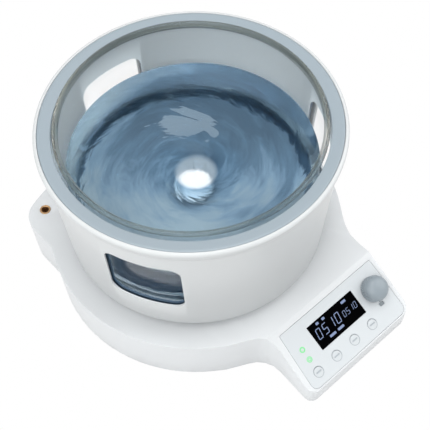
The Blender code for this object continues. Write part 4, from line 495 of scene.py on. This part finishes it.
def vector_maths(tree, operation, *terms):
    """The result of a Vector Math node over its terms."""
    node = add(tree, "VectorMath", dict(enumerate(terms)), operation=operation)
    return node.outputs["Value" if operation in ("LENGTH", "DOT_PRODUCT") else "Vector"]


def between(tree, value, low, high, start=0, end=1):
    """A value mapped from low and high to start and end."""
    terms = {"Value": value, "From Min": low, "From Max": high, "To Min": start, "To Max": end}
    return add(tree, "MapRange", terms).outputs["Result"]


def blend(tree, share, first, second, kind="MIX"):
    """Two colours blended by a share."""
    terms = {"Factor": share, "A": first, "B": second}
    return add(tree, "Mix", terms, data_type="RGBA", blend_type=kind).outputs["Result"]


def ramp(tree, share, stops):
    """A colour ramp with the given places and colours."""
    node = add(tree, "ValToRGB", {"Fac": share})
    marks = node.color_ramp.elements
    while len(marks) < len(stops):
        marks.new(1)
    for mark, (place, color) in zip(marks, stops):
        mark.position = place
        mark.color = color
    return node.outputs["Color"]


def place_of(tree):
    """A surface point's place in Object coordinates."""
    return add(tree, "TexCoord").outputs["Object"]


def axes_of(tree, place):
    """The X, Y and Z of a place."""
    return add(tree, "SeparateXYZ", {0: place}).outputs


def level_offset(tree, centre):
    """How far a surface point lies from an upright line, flattened to the level plane."""
    return vector_maths(tree, "MULTIPLY", vector_maths(tree, "SUBTRACT", place_of(tree), centre), (1, 1, 0))


def group(name, inputs, outputs):
    """A node group with its sockets: its tree, the sockets that it is given and its output node."""
    tree = bpy.data.node_groups.new(name, "ShaderNodeTree")
    for socket, kind, value in inputs:
        item = tree.interface.new_socket(socket, in_out="INPUT", socket_type="NodeSocket" + kind)
        item.default_value = value
    for socket, kind in outputs:
        tree.interface.new_socket(socket, in_out="OUTPUT", socket_type="NodeSocket" + kind)
    return tree, tree.nodes.new("NodeGroupInput").outputs, tree.nodes.new("NodeGroupOutput")


def drift_group():
    """Slow changes of tone and roughness over a moulded or painted surface."""
    inputs = [("Base", "Color", (1, 1, 1, 1)), ("Amount", "Float", 0.03), ("Scale", "Float", 20),
              ("Roughness", "Float", 0.4)]
    tree, given, end = group("tone_drift", inputs, [("Color", "Color"), ("Roughness", "Float")])
    noise = add(tree, "TexNoise", {"Vector": place_of(tree), "Scale": given["Scale"], "Detail": 3})
    centred = maths(tree, "SUBTRACT", noise.outputs["Fac"], 0.5)
    swing = maths(tree, "MULTIPLY", centred, given["Amount"])
    tint = add(tree, "HueSaturation", {"Value": maths(tree, "ADD", swing, 1), "Color": given["Base"]})
    roughness = maths(tree, "ADD", given["Roughness"], swing)
    feed(tree, end, {"Color": tint.outputs["Color"], "Roughness": roughness})
    return tree


def grain_group():
    """The fine grain that a mould or a brush leaves, as a height for a Bump node."""
    inputs = [("Scale", "Float", 900), ("Stretch", "Vector", (1, 1, 1))]
    tree, given, end = group("surface_grain", inputs, [("Height", "Float")])
    stretched = vector_maths(tree, "MULTIPLY", place_of(tree), given["Stretch"])
    noise = add(tree, "TexNoise", {"Vector": stretched, "Scale": given["Scale"], "Detail": 2})
    feed(tree, end, {"Height": noise.outputs["Fac"]})
    return tree


def whirl_group():
    """Spiral streaks and ripples about a point, and the distance from it."""
    outputs = [("Streaks", "Float"), ("Ripple", "Float"), ("Distance", "Float"), ("Place", "Vector")]
    tree, given, end = group("whirlpool", [("Eye", "Vector", (0, 0, 0))], outputs)
    flat = level_offset(tree, given["Eye"])
    distance = vector_maths(tree, "LENGTH", flat)
    depth = maths(tree, "LOGARITHM", maths(tree, "ADD", distance, SPIRAL_CORE), math.e)
    angle = maths(tree, "MULTIPLY", depth, SPIRAL_TURN)
    turn = add(tree, "VectorRotate", {"Vector": flat, "Angle": angle}, rotation_type="Z_AXIS")
    spun = turn.outputs["Vector"]
    heading = vector_maths(tree, "NORMALIZE", spun)
    spread = add(tree, "VectorMath", {0: heading, "Scale": SPIRAL_SPREAD}, operation="SCALE")
    lift = add(tree, "CombineXYZ", {"Z": maths(tree, "MULTIPLY", distance, SPIRAL_RINGS)})
    along = vector_maths(tree, "ADD", spread.outputs["Vector"], lift.outputs["Vector"])
    streaks = add(tree, "TexNoise", {"Vector": along, **STREAK_NOISE})
    ripple = add(tree, "TexNoise", {"Vector": spun, **RIPPLE_NOISE})
    feed(tree, end, {"Streaks": streaks.outputs["Fac"], "Ripple": ripple.outputs["Fac"],
                     "Distance": distance, "Place": flat})
    return tree


# Materials

def srgb(red, green, blue):
    """A colour as it reads on screen, 0 to 255, made linear."""
    def linear(value):
        value /= 255
        return value / 12.92 if value <= 0.04045 else ((value + 0.055) / 1.055) ** 2.4
    return (linear(red), linear(green), linear(blue), 1)


def new_material(name, terms):
    """A material with its node tree and its Principled shader, the shader's inputs set."""
    material = bpy.data.materials.new(name)
    material.use_nodes = True
    tree = material.node_tree
    return material, tree, feed(tree, tree.nodes["Principled BSDF"], terms)


def surface(name, color, roughness, metallic=0.0, drift=0.03, drift_scale=20, grain=0.0,
            grain_scale=900, stretch=(1, 1, 1), specular=0.5):
    """A Principled material with drifting tone and fine grain."""
    material, tree, shader = new_material(name, {"Metallic": metallic, "Specular IOR Level": specular})
    tone = add(tree, "Group", node_tree=DRIFT)
    feed(tree, tone, {"Base": color, "Amount": drift, "Scale": drift_scale, "Roughness": roughness})
    feed(tree, shader, {"Base Color": tone.outputs["Color"], "Roughness": tone.outputs["Roughness"]})
    if grain:
        fine = add(tree, "Group", {"Scale": grain_scale, "Stretch": stretch}, node_tree=GRAIN)
        bump = add(tree, "Bump", {"Strength": grain, "Distance": GRAIN_DEPTH,
                                  "Height": fine.outputs["Height"]})
        feed(tree, shader, {"Normal": bump.outputs["Normal"]})
    return material


def glowing(name, light, strength, base):
    """A lamp's or a display's lit face."""
    return new_material(name, {"Base Color": base, "Roughness": LIT_ROUGHNESS, "Emission Color": light,
                               "Emission Strength": strength})[0]


def liner_material(name, below, above, roughness):
    """A moulding whose wall under the collar's lip has a tone of its own, with painted shade, near black,
    on its outer side and window edges under the lip.
    """
    material = surface(name, above, roughness, drift=LINER_DRIFT)
    tree = material.node_tree
    low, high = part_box("glass_basin")
    height = axes_of(tree, place_of(tree))["Z"]
    over = between(tree, height, COLLAR_FOOT - TONE_EDGE, COLLAR_FOOT)
    tones = blend(tree, over, below, above)
    centre = ((low.x + high.x) / 2, (low.y + high.y) / 2, 0)
    reach = vector_maths(tree, "LENGTH", level_offset(tree, centre))
    upright = maths(tree, "MULTIPLY_ADD", height, -LINER_FLARE, reach)
    face = basin_wall() + LINER_CLEARANCE - LINER_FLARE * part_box("inner_liner")[0].z
    # Painted shade: the outer side and the window edges under the collar's lip are made near black
    behind = maths(tree, "GREATER_THAN", upright, face + LINER_EDGE_DEPTH)
    under = maths(tree, "SUBTRACT", behind, over, clamp=True)
    tone = next(node for node in tree.nodes if node.type == "GROUP")
    feed(tree, tone, {"Base": blend(tree, under, tones, LINER_EDGE_SHADE)})
    return material


def clear(name, ior, gleam):
    """A clear Principled material, before let_through is used on it."""
    return new_material(name, {"Base Color": (1, 1, 1, 1), "Transmission Weight": 1, "IOR": ior,
                               "Roughness": 0, "Specular Tint": gleam})


def mix_shaders(tree, share, first, second):
    """Sends a mix of two shaders to the material's output."""
    mix = add(tree, "MixShader", {"Fac": share, 1: first.outputs[0], 2: second.outputs[0]})
    feed(tree, tree.nodes["Material Output"], {"Surface": mix.outputs[0]})


def let_through(tree, shader, shade, clearness=None):
    """Lets lamps and scattered light straight through, and any share of other light that is given."""
    rays = add(tree, "LightPath").outputs
    share = maths(tree, "MAXIMUM", rays["Is Shadow Ray"], rays["Is Diffuse Ray"])
    if clearness is not None:
        share = maths(tree, "MAXIMUM", share, clearness)
    mix_shaders(tree, share, shader, add(tree, "BsdfTransparent", {"Color": shade}))


def basin_glass():
    """Clear glass whose rolled lip is less clear than its wall, with painted shade in a dark, ragged ring
    at its inner corner.
    """
    material, tree, shader = clear("clear_glass", GLASS_IOR, GLASS_GLEAM)
    low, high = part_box("glass_basin")
    place = place_of(tree)
    height = axes_of(tree, place)["Z"]
    offset = level_offset(tree, ((low.x + high.x) / 2, (low.y + high.y) / 2, 0))
    # Painted shade: a dark, ragged ring at the inner corner, where the glass is darker and less clear
    rough = add(tree, "TexNoise", {"Vector": place, **CORNER_NOISE}).outputs["Fac"]
    lean = vector_maths(tree, "DOT_PRODUCT", offset, CORNER_LEAN)
    reach = maths(tree, "SUBTRACT", vector_maths(tree, "LENGTH", offset), lean)
    outside = between(tree, maths(tree, "MULTIPLY_ADD", rough, CORNER_RAGGED, reach), *CORNER_START)
    wavy = maths(tree, "MULTIPLY_ADD", rough, CORNER_WAVE, maths(tree, "ADD", height, lean))
    under = between(tree, wavy, *(low.z + rise for rise in CORNER_TOP))
    corner = maths(tree, "MULTIPLY", outside, under)
    lip_foot = high.z - LIP_HEIGHT
    lip = between(tree, height, lip_foot - TONE_EDGE, lip_foot, WALL_CLEARNESS, LIP_CLEARNESS)
    rolled = maths(tree, "GREATER_THAN", height, lip_foot - TONE_EDGE / 2)
    tint = blend(tree, rolled, blend(tree, corner, GLASS_TINT, CORNER_SHADE), LIP_TINT)
    feed(tree, shader, {"Base Color": tint})
    let_through(tree, shader, (1, 1, 1, 1), maths(tree, "SUBTRACT", lip, corner, clamp=True))
    return material


def side_tint_with_window_shade(tree, axis):
    """The tint of the water's side, with painted shade: near black where the drum's windows look in."""
    offset = axes_of(tree, vector_maths(tree, "SUBTRACT", place_of(tree), (axis.x, axis.y, 0)))
    azimuth = maths(tree, "ARCTAN2", offset["Y"], offset["X"])
    count = len(WINDOW_AZIMUTHS)
    lobes = maths(tree, "MULTIPLY_ADD", azimuth, count, -count * math.radians(WINDOW_AZIMUTHS[-1]))
    at_window = between(tree, maths(tree, "COSINE", lobes), *WINDOW_EDGE)
    upright = maths(tree, "GREATER_THAN", offset["Z"], basin_floor() + WINDOW_SHADE_FOOT)
    # Painted shade: the water's side is made near black where the windows look in
    return blend(tree, maths(tree, "MULTIPLY", at_window, upright), SIDE_TINT, WINDOW_SHADE)


def reflection_patch(tree, whirl):
    """A mask for the one pale, ragged patch of painted reflection that lies behind the eye."""
    place = add(tree, "Mapping", {"Vector": whirl["Place"], "Location": (*PATCH_PLACE, 0),
                                  "Rotation": (0, 0, PATCH_TURN), "Scale": (*PATCH_REACH, 1)},
                vector_type="TEXTURE").outputs["Vector"]
    reach = vector_maths(tree, "LENGTH", place)
    ragged = maths(tree, "MULTIPLY_ADD", whirl["Ripple"], PATCH_RAGGED, reach)
    return between(tree, ragged, *PATCH_EDGE)


def streak_tones(tree, whirl, middle):
    """The streaks' colours, painted light and shade: lighter towards the front left, along the wall and at
    the rear.
    """
    # Painted light: lighter along a slant towards the front left, along the wall and at the rear
    slant = vector_maths(tree, "DOT_PRODUCT", whirl["Place"], STREAK_LIGHT_SLANT)
    offset = vector_maths(tree, "SUBTRACT", whirl["Place"], middle)
    at_wall = between(tree, vector_maths(tree, "LENGTH", offset), *RIM_LIGHT)
    at_rear = between(tree, axes_of(tree, offset)["Y"], *REAR_LIGHT)
    shade = whirl["Streaks"]
    for more in (slant, at_wall, at_rear):
        shade = maths(tree, "ADD", shade, more)
    return ramp(tree, shade, STREAK_TONES)


def water_material(axis, eye, still_level):
    """Blue water with swirled streaks of painted light and shade on its surface, a painted pale reflection
    behind the eye, a painted dark ring round its funnel and a clear eye over the stirrer.
    """
    material, tree, shader = clear("stirred_water", WATER_IOR, WATER_GLEAM)
    let_through(tree, shader, WATER_SHADE)
    whirl = add(tree, "Group", {"Eye": (*eye, 0)}, node_tree=whirl_group()).outputs
    streaks = streak_tones(tree, whirl, (axis.x - eye.x, axis.y - eye.y, 0))
    # Painted reflection: the pale patch behind the eye
    patched = blend(tree, reflection_patch(tree, whirl), streaks, PATCH_REFLECTION)
    inner = blend(tree, between(tree, whirl["Distance"], *CLEAR_EYE), (1, 1, 1, 1), patched)
    # Painted shade: a dark ring round the funnel, with the eye itself left clear
    eye_tone = ramp(tree, between(tree, whirl["Distance"], 0, EYE_REACH), EYE_TONES)
    tone = blend(tree, 1, inner, eye_tone, "MULTIPLY")
    deepest = still_level - FUNNEL_DEPTH - 2 * DIP_DEPTH
    top = maths(tree, "GREATER_THAN", axes_of(tree, place_of(tree))["Z"], deepest)
    height = maths(tree, "MULTIPLY", maths(tree, "ADD", whirl["Streaks"], whirl["Ripple"]), top)
    bump = add(tree, "Bump", {"Height": height, **RIPPLE_BUMP})
    feed(tree, shader, {"Base Color": blend(tree, top, side_tint_with_window_shade(tree, axis), tone),
                        "Normal": bump.outputs["Normal"]})
    return material


def all_surfaces():
    """A material for each slot of the record, and those of the new pieces."""
    made = {name: surface(name, srgb(*color), roughness, **more)
            for name, (color, roughness, more) in PLAIN.items()}
    for name, (light, strength, base) in LIT.items():
        made[name] = glowing(name, srgb(*light), strength, base)
    below, above = (srgb(*tone) for tone in LINER_TONES)
    made["grey_liner"] = liner_material("grey_liner", below, above, LINER_ROUGHNESS)
    made["clear_glass"] = basin_glass()
    return made


# Drum

def window_cutter(axis, drum_bottom, reach):
    """Three rounded blocks on the window places, joined into one cutter."""
    blocks = []
    for azimuth in WINDOW_AZIMUTHS:
        turn = math.radians(azimuth)
        middle = reach * WINDOW_CUT_SHARE
        place = (axis.x + middle * math.cos(turn), axis.y + middle * math.sin(turn),
                 drum_bottom + WINDOW_SILL + WINDOW_HEIGHT / 2)
        blocks.append(rounded_block("window_cutter", (WINDOW_HEIGHT, WINDOW_WIDTH, reach), place,
                                    WINDOW_CORNER, CORNER_STEPS, rotation=(0, math.pi / 2, turn)))
    activate(*blocks)
    bpy.ops.object.join()
    bpy.ops.object.transform_apply(location=True, rotation=True, scale=True)
    return blocks[0]


def build_shell(axis, rim, bottom, top):
    """The drum's tapered outer wall with its stepped rim."""
    foot = rim - RIM_OVERHANG - SHELL_FLARE * (top - bottom)

    def radius(height):
        return foot + SHELL_FLARE * (height - bottom)

    seat = rim - RIM_WIDTH
    band = top - RIM_BAND
    ledge = top - 2 * GAP - COLLAR_THICKNESS
    floor = bottom + SHELL_WALL
    bore = rim - SHELL_FLOOR_WIDTH
    drawn_in, draft_height = RIM_DRAFT
    profile = [
        (bore, bottom), (foot - SHELL_FOOT_CHAMFER, bottom), (foot, bottom + SHELL_FOOT_CHAMFER),
        (radius(band - 2 * RIM_STEP), band - 2 * RIM_STEP), (radius(band), band - RIM_STEP),
        (radius(band) + RIM_STEP, band), (radius(band) + RIM_STEP_SHARE * RIM_STEP, band + RIM_STEP),
        (rim - drawn_in, top - RIM_ROUND - draft_height),
        *arc(rim - RIM_ROUND, top - RIM_ROUND, RIM_ROUND, 0, 90, ROUND_STEPS),
        (seat + RIM_CHAMFER, top), (seat, top - RIM_CHAMFER),
        (seat, ledge), (radius(ledge) - SHELL_WALL, ledge),
        (radius(floor) - SHELL_WALL, floor), (bore, floor)]
    return turned("drum_skin", axis.to_2d(), profile)


def build_lining(axis, seat):
    """The liner with the collar that closes the gap between the rim and the basin."""
    low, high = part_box("inner_liner")
    basin_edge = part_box("glass_basin")[1].x - axis.x
    bore = basin_edge + COLLAR_CLEARANCE
    foot = basin_edge - LIP_OVERHANG + LINER_CLEARANCE
    outer = seat - GAP
    under_collar = high.z - COLLAR_THICKNESS
    inner_top = high.z - COLLAR_FALL
    lip_low = inner_top - COLLAR_LIP

    def radius(height):
        return foot + LINER_FLARE * (height - low.z)

    slope_start = bore + COLLAR_ROUND
    slope_width = outer - COLLAR_EDGE[-1][0] - slope_start
    profile = [
        *[(outer - inward, high.z - down) for inward, down in COLLAR_EDGE],
        *[(slope_start + slope_width * share, inner_top + COLLAR_FALL * share)
          for share in (0.75, 0.5, 0.25)],
        *arc(slope_start, inner_top - COLLAR_ROUND, COLLAR_ROUND, 90, 180, COLLAR_STEPS),
        (bore, lip_low), (radius(lip_low), lip_low - LINER_WALL), (foot, low.z),
        (foot + LINER_WALL, low.z), (radius(under_collar) + LINER_WALL, under_collar),
        (outer, under_collar)]
    return turned("liner_skin", axis.to_2d(), profile)


def build_drum(axis):
    low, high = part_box("drum_shell")
    rim = (high.x - low.x) / 2
    shell = build_shell(axis, rim, low.z, high.z)
    lining = build_lining(axis, rim - RIM_WIDTH)
    windows = window_cutter(axis, low.z, rim)
    for item in (shell, lining):
        cut(item, windows)
        bevelled(item, *MOULDED_ROUND)
    bpy.data.objects.remove(windows)
    finish_piece(shell, "base", MATERIALS["drum_white"], "drum_shell")
    finish_piece(lining, "base", MATERIALS["grey_liner"], "inner_liner")


# Basin and water

def basin_wall():
    """The outer radius of the basin's wall under its lip."""
    low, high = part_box("glass_basin")
    return (high.x - low.x) / 2 - LIP_OVERHANG


def basin_floor():
    """The height of the basin's inner floor."""
    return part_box("glass_basin")[0].z + BASIN_FLOOR


def build_basin(axis):
    low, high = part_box("glass_basin")
    outer = basin_wall()
    floor = basin_floor()
    half = (LIP_OVERHANG + BASIN_WALL) / 2
    lip_r = outer + LIP_OVERHANG - half
    lip_z = high.z - LIP_HEIGHT / 2
    lip = [(lip_r + half * math.cos(a), lip_z + LIP_HEIGHT / 2 * math.sin(a))
           for a in (math.pi * (1 - i / CORNER_STEPS) for i in range(CORNER_STEPS + 1))]
    inside = outer - BASIN_WALL
    corner_in = BASIN_CORNER - BASIN_WALL
    profile = [
        *lip, (outer + LIP_NECK_SHARE * LIP_OVERHANG, lip_z - LIP_NECK), (outer, lip_z - LIP_HEIGHT / 2),
        *arc(outer - BASIN_CORNER, low.z + BASIN_CORNER, BASIN_CORNER, 0, -90, CORNER_STEPS),
        (AXIS_HOLE, low.z), (AXIS_HOLE, floor),
        *arc(inside - corner_in, floor + corner_in, corner_in, -90, 0, CORNER_STEPS),
        (inside, lip_z - LIP_HEIGHT / 2)]
    basin = turned("basin_glass", axis.to_2d(), profile)
    smooth(basin, CLEAR_SMOOTH)
    finish_piece(basin, "basin", MATERIALS["clear_glass"], "glass_basin")


def build_water(axis):
    """The water as one closed piece, its top sunk in a wide dip with a narrow funnel."""
    wall = basin_wall() - BASIN_WALL - GAP
    bottom = basin_floor() + GAP
    still_level = basin_floor() + WATER_DEPTH
    corner = BASIN_CORNER - BASIN_WALL
    profile = [
        (AXIS_HOLE, still_level), *[(wall * i / WATER_RINGS, still_level) for i in range(2, WATER_RINGS)],
        (wall, still_level), *arc(wall - corner, bottom + corner, corner, 0, -90, ROUND_STEPS),
        (AXIS_HOLE, bottom)]
    water = turned("water", axis.to_2d(), profile)
    eye = Vector((axis.x + EYE_SHIFT[0], axis.y + EYE_SHIFT[1]))
    for vertex in water.data.vertices:
        if vertex.co.z > still_level - TOP_DEPTH:
            place = vertex.co.to_2d()
            distance = (place - eye).length
            edge = min(1, (wall - (place - axis.to_2d()).length) / STILL_EDGE)
            vertex.co.z -= edge * DIP_DEPTH / (1 + (distance / DIP_RADIUS) ** 2) \
                + FUNNEL_DEPTH * math.exp(-(distance / FUNNEL_RADIUS) ** 2)
    smooth(water, CLEAR_SMOOTH)
    finish_piece(water, "basin", water_material(axis, eye, still_level))


def build_spin_disc(axis):
    """The stir bar's blur while it spins: a soft white disc."""
    low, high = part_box("stir_bar")
    deselect()
    place = (axis.x, axis.y, (low.z + high.z) / 2)
    bpy.ops.mesh.primitive_cylinder_add(vertices=DISC_STEPS, radius=(high.x - low.x) / 2 - BLUR_INSET,
                                        depth=BLUR_THICKNESS, location=place)
    disc = name_piece(bpy.context.active_object, "stir_blur")
    smooth(disc, DISC_SMOOTH)
    finish_piece(disc, "stirrer", MATERIALS["ptfe"], "stir_bar")


# Panel

def panel_frame():
    """The panel's own axes: X across, Y up the slope, Z out of the faceplate's top."""
    low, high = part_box("faceplate")
    node = frame["nodes"]["faceplate"]
    crest = [v.co.x for v in node.data.vertices if (node.matrix_world @ v.co).z > high.z - TOP_DEPTH]
    cosine, sine = math.cos(PANEL_SLOPE), math.sin(PANEL_SLOPE)
    half = (high.y - low.y - FACEPLATE_THICKNESS * sine) / cosine / 2
    middle = ((min(crest) + max(crest)) / 2, low.y + cosine * half, high.z - sine * half)
    return Matrix.Translation(middle) @ Matrix.Rotation(PANEL_SLOPE, 4, "X")


def on_panel(node):
    """The place of a CAD node's middle in the panel's own frame."""
    low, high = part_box(node)
    place = PANEL.inverted() @ ((low + high) / 2)
    return place.x, place.y


def panel_heights(node):
    """How high a CAD node's vertices stand over the panel."""
    return [(PANEL.inverted() @ v.co).z for v in frame["nodes"][node].data.vertices]


def bar(name, width, height, place, corner, turn=0.0, rise=0.0):
    """A thin printed or lit bar on the panel, turned about the panel's own upright."""
    item = rounded_block(name, (width, height, MARK_RISE), (0, 0, 0), corner, BEVEL_STEPS)
    item.matrix_world = PANEL @ Matrix.Translation((*place, rise + MARK_RISE / 2)) \
        @ Matrix.Rotation(turn, 4, "Z")
    return item


def joined(name, items, material):
    """One piece of the base made of several small ones."""
    activate(*items)
    bpy.ops.object.transform_apply(location=True, rotation=True, scale=True)
    bpy.ops.object.join()
    return finish_piece(name_piece(items[0], name), "base", material)


def digit(symbol, size, centre):
    """Seven-segment bars of one digit, leaning as such digits do."""
    width, height, thick = size
    lean = math.tan(DIGIT_SLANT)
    half_w, half_h = width / 2, height / 2
    trim = thick * SEGMENT_TRIM
    across = {"a": half_h, "g": 0, "d": -half_h}
    upright = {"b": (half_w, half_h / 2), "c": (half_w, -half_h / 2), "e": (-half_w, -half_h / 2),
               "f": (-half_w, half_h / 2)}
    bars = []
    for segment in SEGMENTS[symbol]:
        if segment in across:
            x, rise, turn = 0, across[segment], 0
            breadth, length = width - trim, thick
        else:
            (x, rise), turn = upright[segment], -DIGIT_SLANT
            breadth, length = thick, half_h - trim - thick * SEGMENT_GAP
        place = (centre[0] + x + rise * lean, centre[1] + rise)
        bars.append(bar("segment", breadth, length, place, thick * SEGMENT_ROUND, turn))
    return bars


def panel_ring(name, centre, outer, inner, rise):
    """A flat ring on the panel."""
    profile = [(inner, 0), (inner, MARK_RISE), (outer, MARK_RISE), (outer, 0)]
    item = turned(name, (0, 0), profile, RING_STEPS)
    item.matrix_world = PANEL @ Matrix.Translation((*centre, rise))
    smooth(item, RING_SMOOTH)
    return item


def build_display():
    x, y = on_panel("display_lens")
    marks = []
    for i, symbol in enumerate(READING):
        for size, (dx, dy), pitch in ((BIG_DIGIT, BIG_START, BIG_PITCH),
                                      (SMALL_DIGIT, SMALL_START, SMALL_PITCH)):
            marks += digit(symbol, size, (x + dx + pitch * i, y + dy))
    for dx, dy, width in TAGS:
        marks.append(bar("tag", width * MM, TAG_HEIGHT, (x + dx * MM, y + dy * MM), TAG_ROUND))
    joined("display_marks", marks, MATERIALS["lcd_light"])


def build_keys():
    for i in range(1, KEYS + 1):
        node = f"key_{i}"
        place = on_panel(node)
        ring = panel_ring(f"key_{i}_ring", place, *KEY_RING, 0)
        finish_piece(ring, "base", MATERIALS["light_print"])
        mark = bar(f"key_{i}_mark", *KEY_BAR, place, KEY_BAR_ROUND, rise=max(panel_heights(node)))
        finish_piece(mark, f"panel_key_{i}", MATERIALS["faint_print"])


def build_lamps():
    for node, rings in LAMPS.items():
        place = on_panel(node)
        for i, (material, outer, inner) in enumerate(rings):
            ring = panel_ring(f"{node}_ring_{i + 1}", place, outer * MM, inner * MM, MARK_RISE)
            finish_piece(ring, "base", MATERIALS[material])


def build_press_sign(x, y):
    """The small press sign below the knob: a block with a stem and an arrow head over it."""
    parts = [bar(name, width * MM, height * MM, (x + dx * MM, y + dy * MM), corner * MM, math.radians(turn))
             for name, width, height, dx, dy, corner, turn in PRESS_SIGN]
    joined("press_sign", parts, MATERIALS["grey_print"])


def flute(knob, skirt):
    """Draws every few upright edges of the knob's skirt in."""
    for vertex in knob.data.vertices:
        azimuth = math.atan2(vertex.co.y, vertex.co.x) % TAU
        step = round(azimuth / TAU * KNOB_STEPS) % KNOB_FLUTE_STEPS
        vertex.select = step == 0 and vertex.co.to_2d().length > KNOB_RADIUS - KNOB_FLUTE_EDGE \
            and vertex.co.z < skirt - KNOB_FLUTE_TOP
    for part in (*knob.data.edges, *knob.data.polygons):
        part.select = False
    bpy.ops.object.mode_set(mode="EDIT")
    bpy.ops.mesh.select_mode(type="VERT")
    share = 1 - KNOB_FLUTE_DEPTH / KNOB_RADIUS
    bpy.ops.transform.resize(value=(share, share, 1), center_override=(0, 0, 0))
    bpy.ops.object.mode_set(mode="OBJECT")


def build_knob():
    """A fluted skirt under a smooth, well rounded cap."""
    x, y = on_panel("knob")
    heights = panel_heights("knob")
    bottom, top = min(heights), max(heights)
    skirt = bottom + KNOB_SKIRT
    crown = KNOB_RADIUS - KNOB_STEP
    dome = [(crown * math.cos(a) ** KNOB_DOME_POWER, skirt + (top - skirt) * math.sin(a))
            for a in map(math.radians, range(KNOB_DOME_STEP, 90, KNOB_DOME_STEP))]
    inward, up = KNOB_FOOT_CHAMFER
    profile = [
        (KNOB_RADIUS - KNOB_WALL, bottom), (KNOB_RADIUS - inward, bottom), (KNOB_RADIUS, bottom + up),
        (KNOB_RADIUS, skirt - KNOB_SKIRT_CHAMFER), (crown, skirt), *dome, (AXIS_HOLE, top),
        (AXIS_HOLE, bottom + KNOB_HOLLOW), (KNOB_RADIUS - KNOB_WALL, bottom + KNOB_HOLLOW)]
    knob = turned("knob_cap", (0, 0), profile, KNOB_STEPS)
    flute(knob, skirt)
    knob.matrix_world = PANEL @ Matrix.Translation((x, y, 0))
    smooth(knob, KNOB_SMOOTH)
    finish_piece(knob, "control_knob", MATERIALS["knob_grey"], "knob")
    build_press_sign(x + PRESS_PLACE[0], y + PRESS_PLACE[1])


def build_panel():
    dress("faceplate", FACEPLATE_ROUND)
    dress("display_lens", LENS_ROUND)
    build_display()
    build_keys()
    build_lamps()
    build_knob()


# Stage

def build_stage():
    """A white floor that reads as plain white to the camera and in the glass."""
    deselect()
    bpy.ops.mesh.primitive_plane_add(size=STAGE_SIZE, location=(0, 0, 0))
    floor = name_piece(bpy.context.active_object, "stage_floor")
    dull = {"Base Color": STAGE_WHITE, "Roughness": STAGE_ROUGHNESS, "Specular IOR Level": 0}
    material, tree, shader = new_material("stage_white", dull)
    rays = add(tree, "LightPath").outputs
    seen = maths(tree, "ADD", rays["Is Camera Ray"], rays["Is Glossy Ray"], clamp=True)
    seen = maths(tree, "ADD", seen, rays["Is Transmission Ray"], clamp=True)
    mix_shaders(tree, seen, shader, add(tree, "Emission"))
    floor.data.materials.append(material)


def build_lights():
    """A white world with the studio's soft lamps, all aimed at the drum's middle."""
    world = bpy.data.worlds.new("white_room")
    bpy.context.scene.world = world
    world.use_nodes = True
    feed(world.node_tree, world.node_tree.nodes["Background"],
         {"Color": (1, 1, 1, 1), "Strength": WORLD_STRENGTH})
    for name, place, size, power in STUDIO:
        deselect()
        bpy.ops.object.light_add(type="AREA", location=place)
        lamp = bpy.context.active_object
        lamp.name = name
        lamp.data.size = size
        lamp.data.energy = power
        aim = Vector(STUDIO_AIM) - Vector(place)
        lamp.rotation_euler = aim.to_track_quat("-Z", "Y").to_euler()


def build_camera(axis):
    """The photo's own camera, placed by what was solved from the rim's ellipses."""
    dx, dy, height = (share * RIM_CIRCLE for share in CAMERA_TARGET)
    target = Vector((axis.x + dx, axis.y + dy, height))
    heading = Vector(CAMERA_HEADING).normalized()
    back = -heading * math.cos(CAMERA_ELEVATION) + Vector((0, 0, math.sin(CAMERA_ELEVATION)))
    right = Vector((heading.y, -heading.x, 0))
    up = right.cross(-back)
    side = right * math.cos(CAMERA_ROLL) + up * math.sin(CAMERA_ROLL)
    top = up * math.cos(CAMERA_ROLL) - right * math.sin(CAMERA_ROLL)
    place = target + CAMERA_DISTANCE * RIM_CIRCLE * back
    bpy.ops.object.camera_add(location=place)
    camera = bpy.context.active_object
    camera.matrix_world = Matrix.Translation(place) @ Matrix((side, top, back)).transposed().to_4x4()
    camera.data.lens = CAMERA_LENS
    camera.data.sensor_width = CAMERA_SENSOR
    bpy.context.scene.camera = camera


# Scene

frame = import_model()
SLOT_OF = {name: node.data.materials[0].name for name, node in frame["nodes"].items()}
DRIFT = drift_group()
GRAIN = grain_group()
COLLAR_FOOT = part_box("inner_liner")[1].z - COLLAR_FALL - COLLAR_LIP
MATERIALS = all_surfaces()
for name, node in frame["nodes"].items():
    node.data.materials[0] = MATERIALS[SLOT_OF[name]]

low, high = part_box("drum_shell")
AXIS = (low + high) / 2
PANEL = panel_frame()

build_drum(AXIS)
build_basin(AXIS)
build_water(AXIS)
build_spin_disc(AXIS)
dress("base_housing", HOUSING_ROUND, PANEL_BACK)
build_panel()
build_stage()
build_lights()
build_camera(AXIS)
bpy.context.scene.view_settings.view_transform = "Standard"
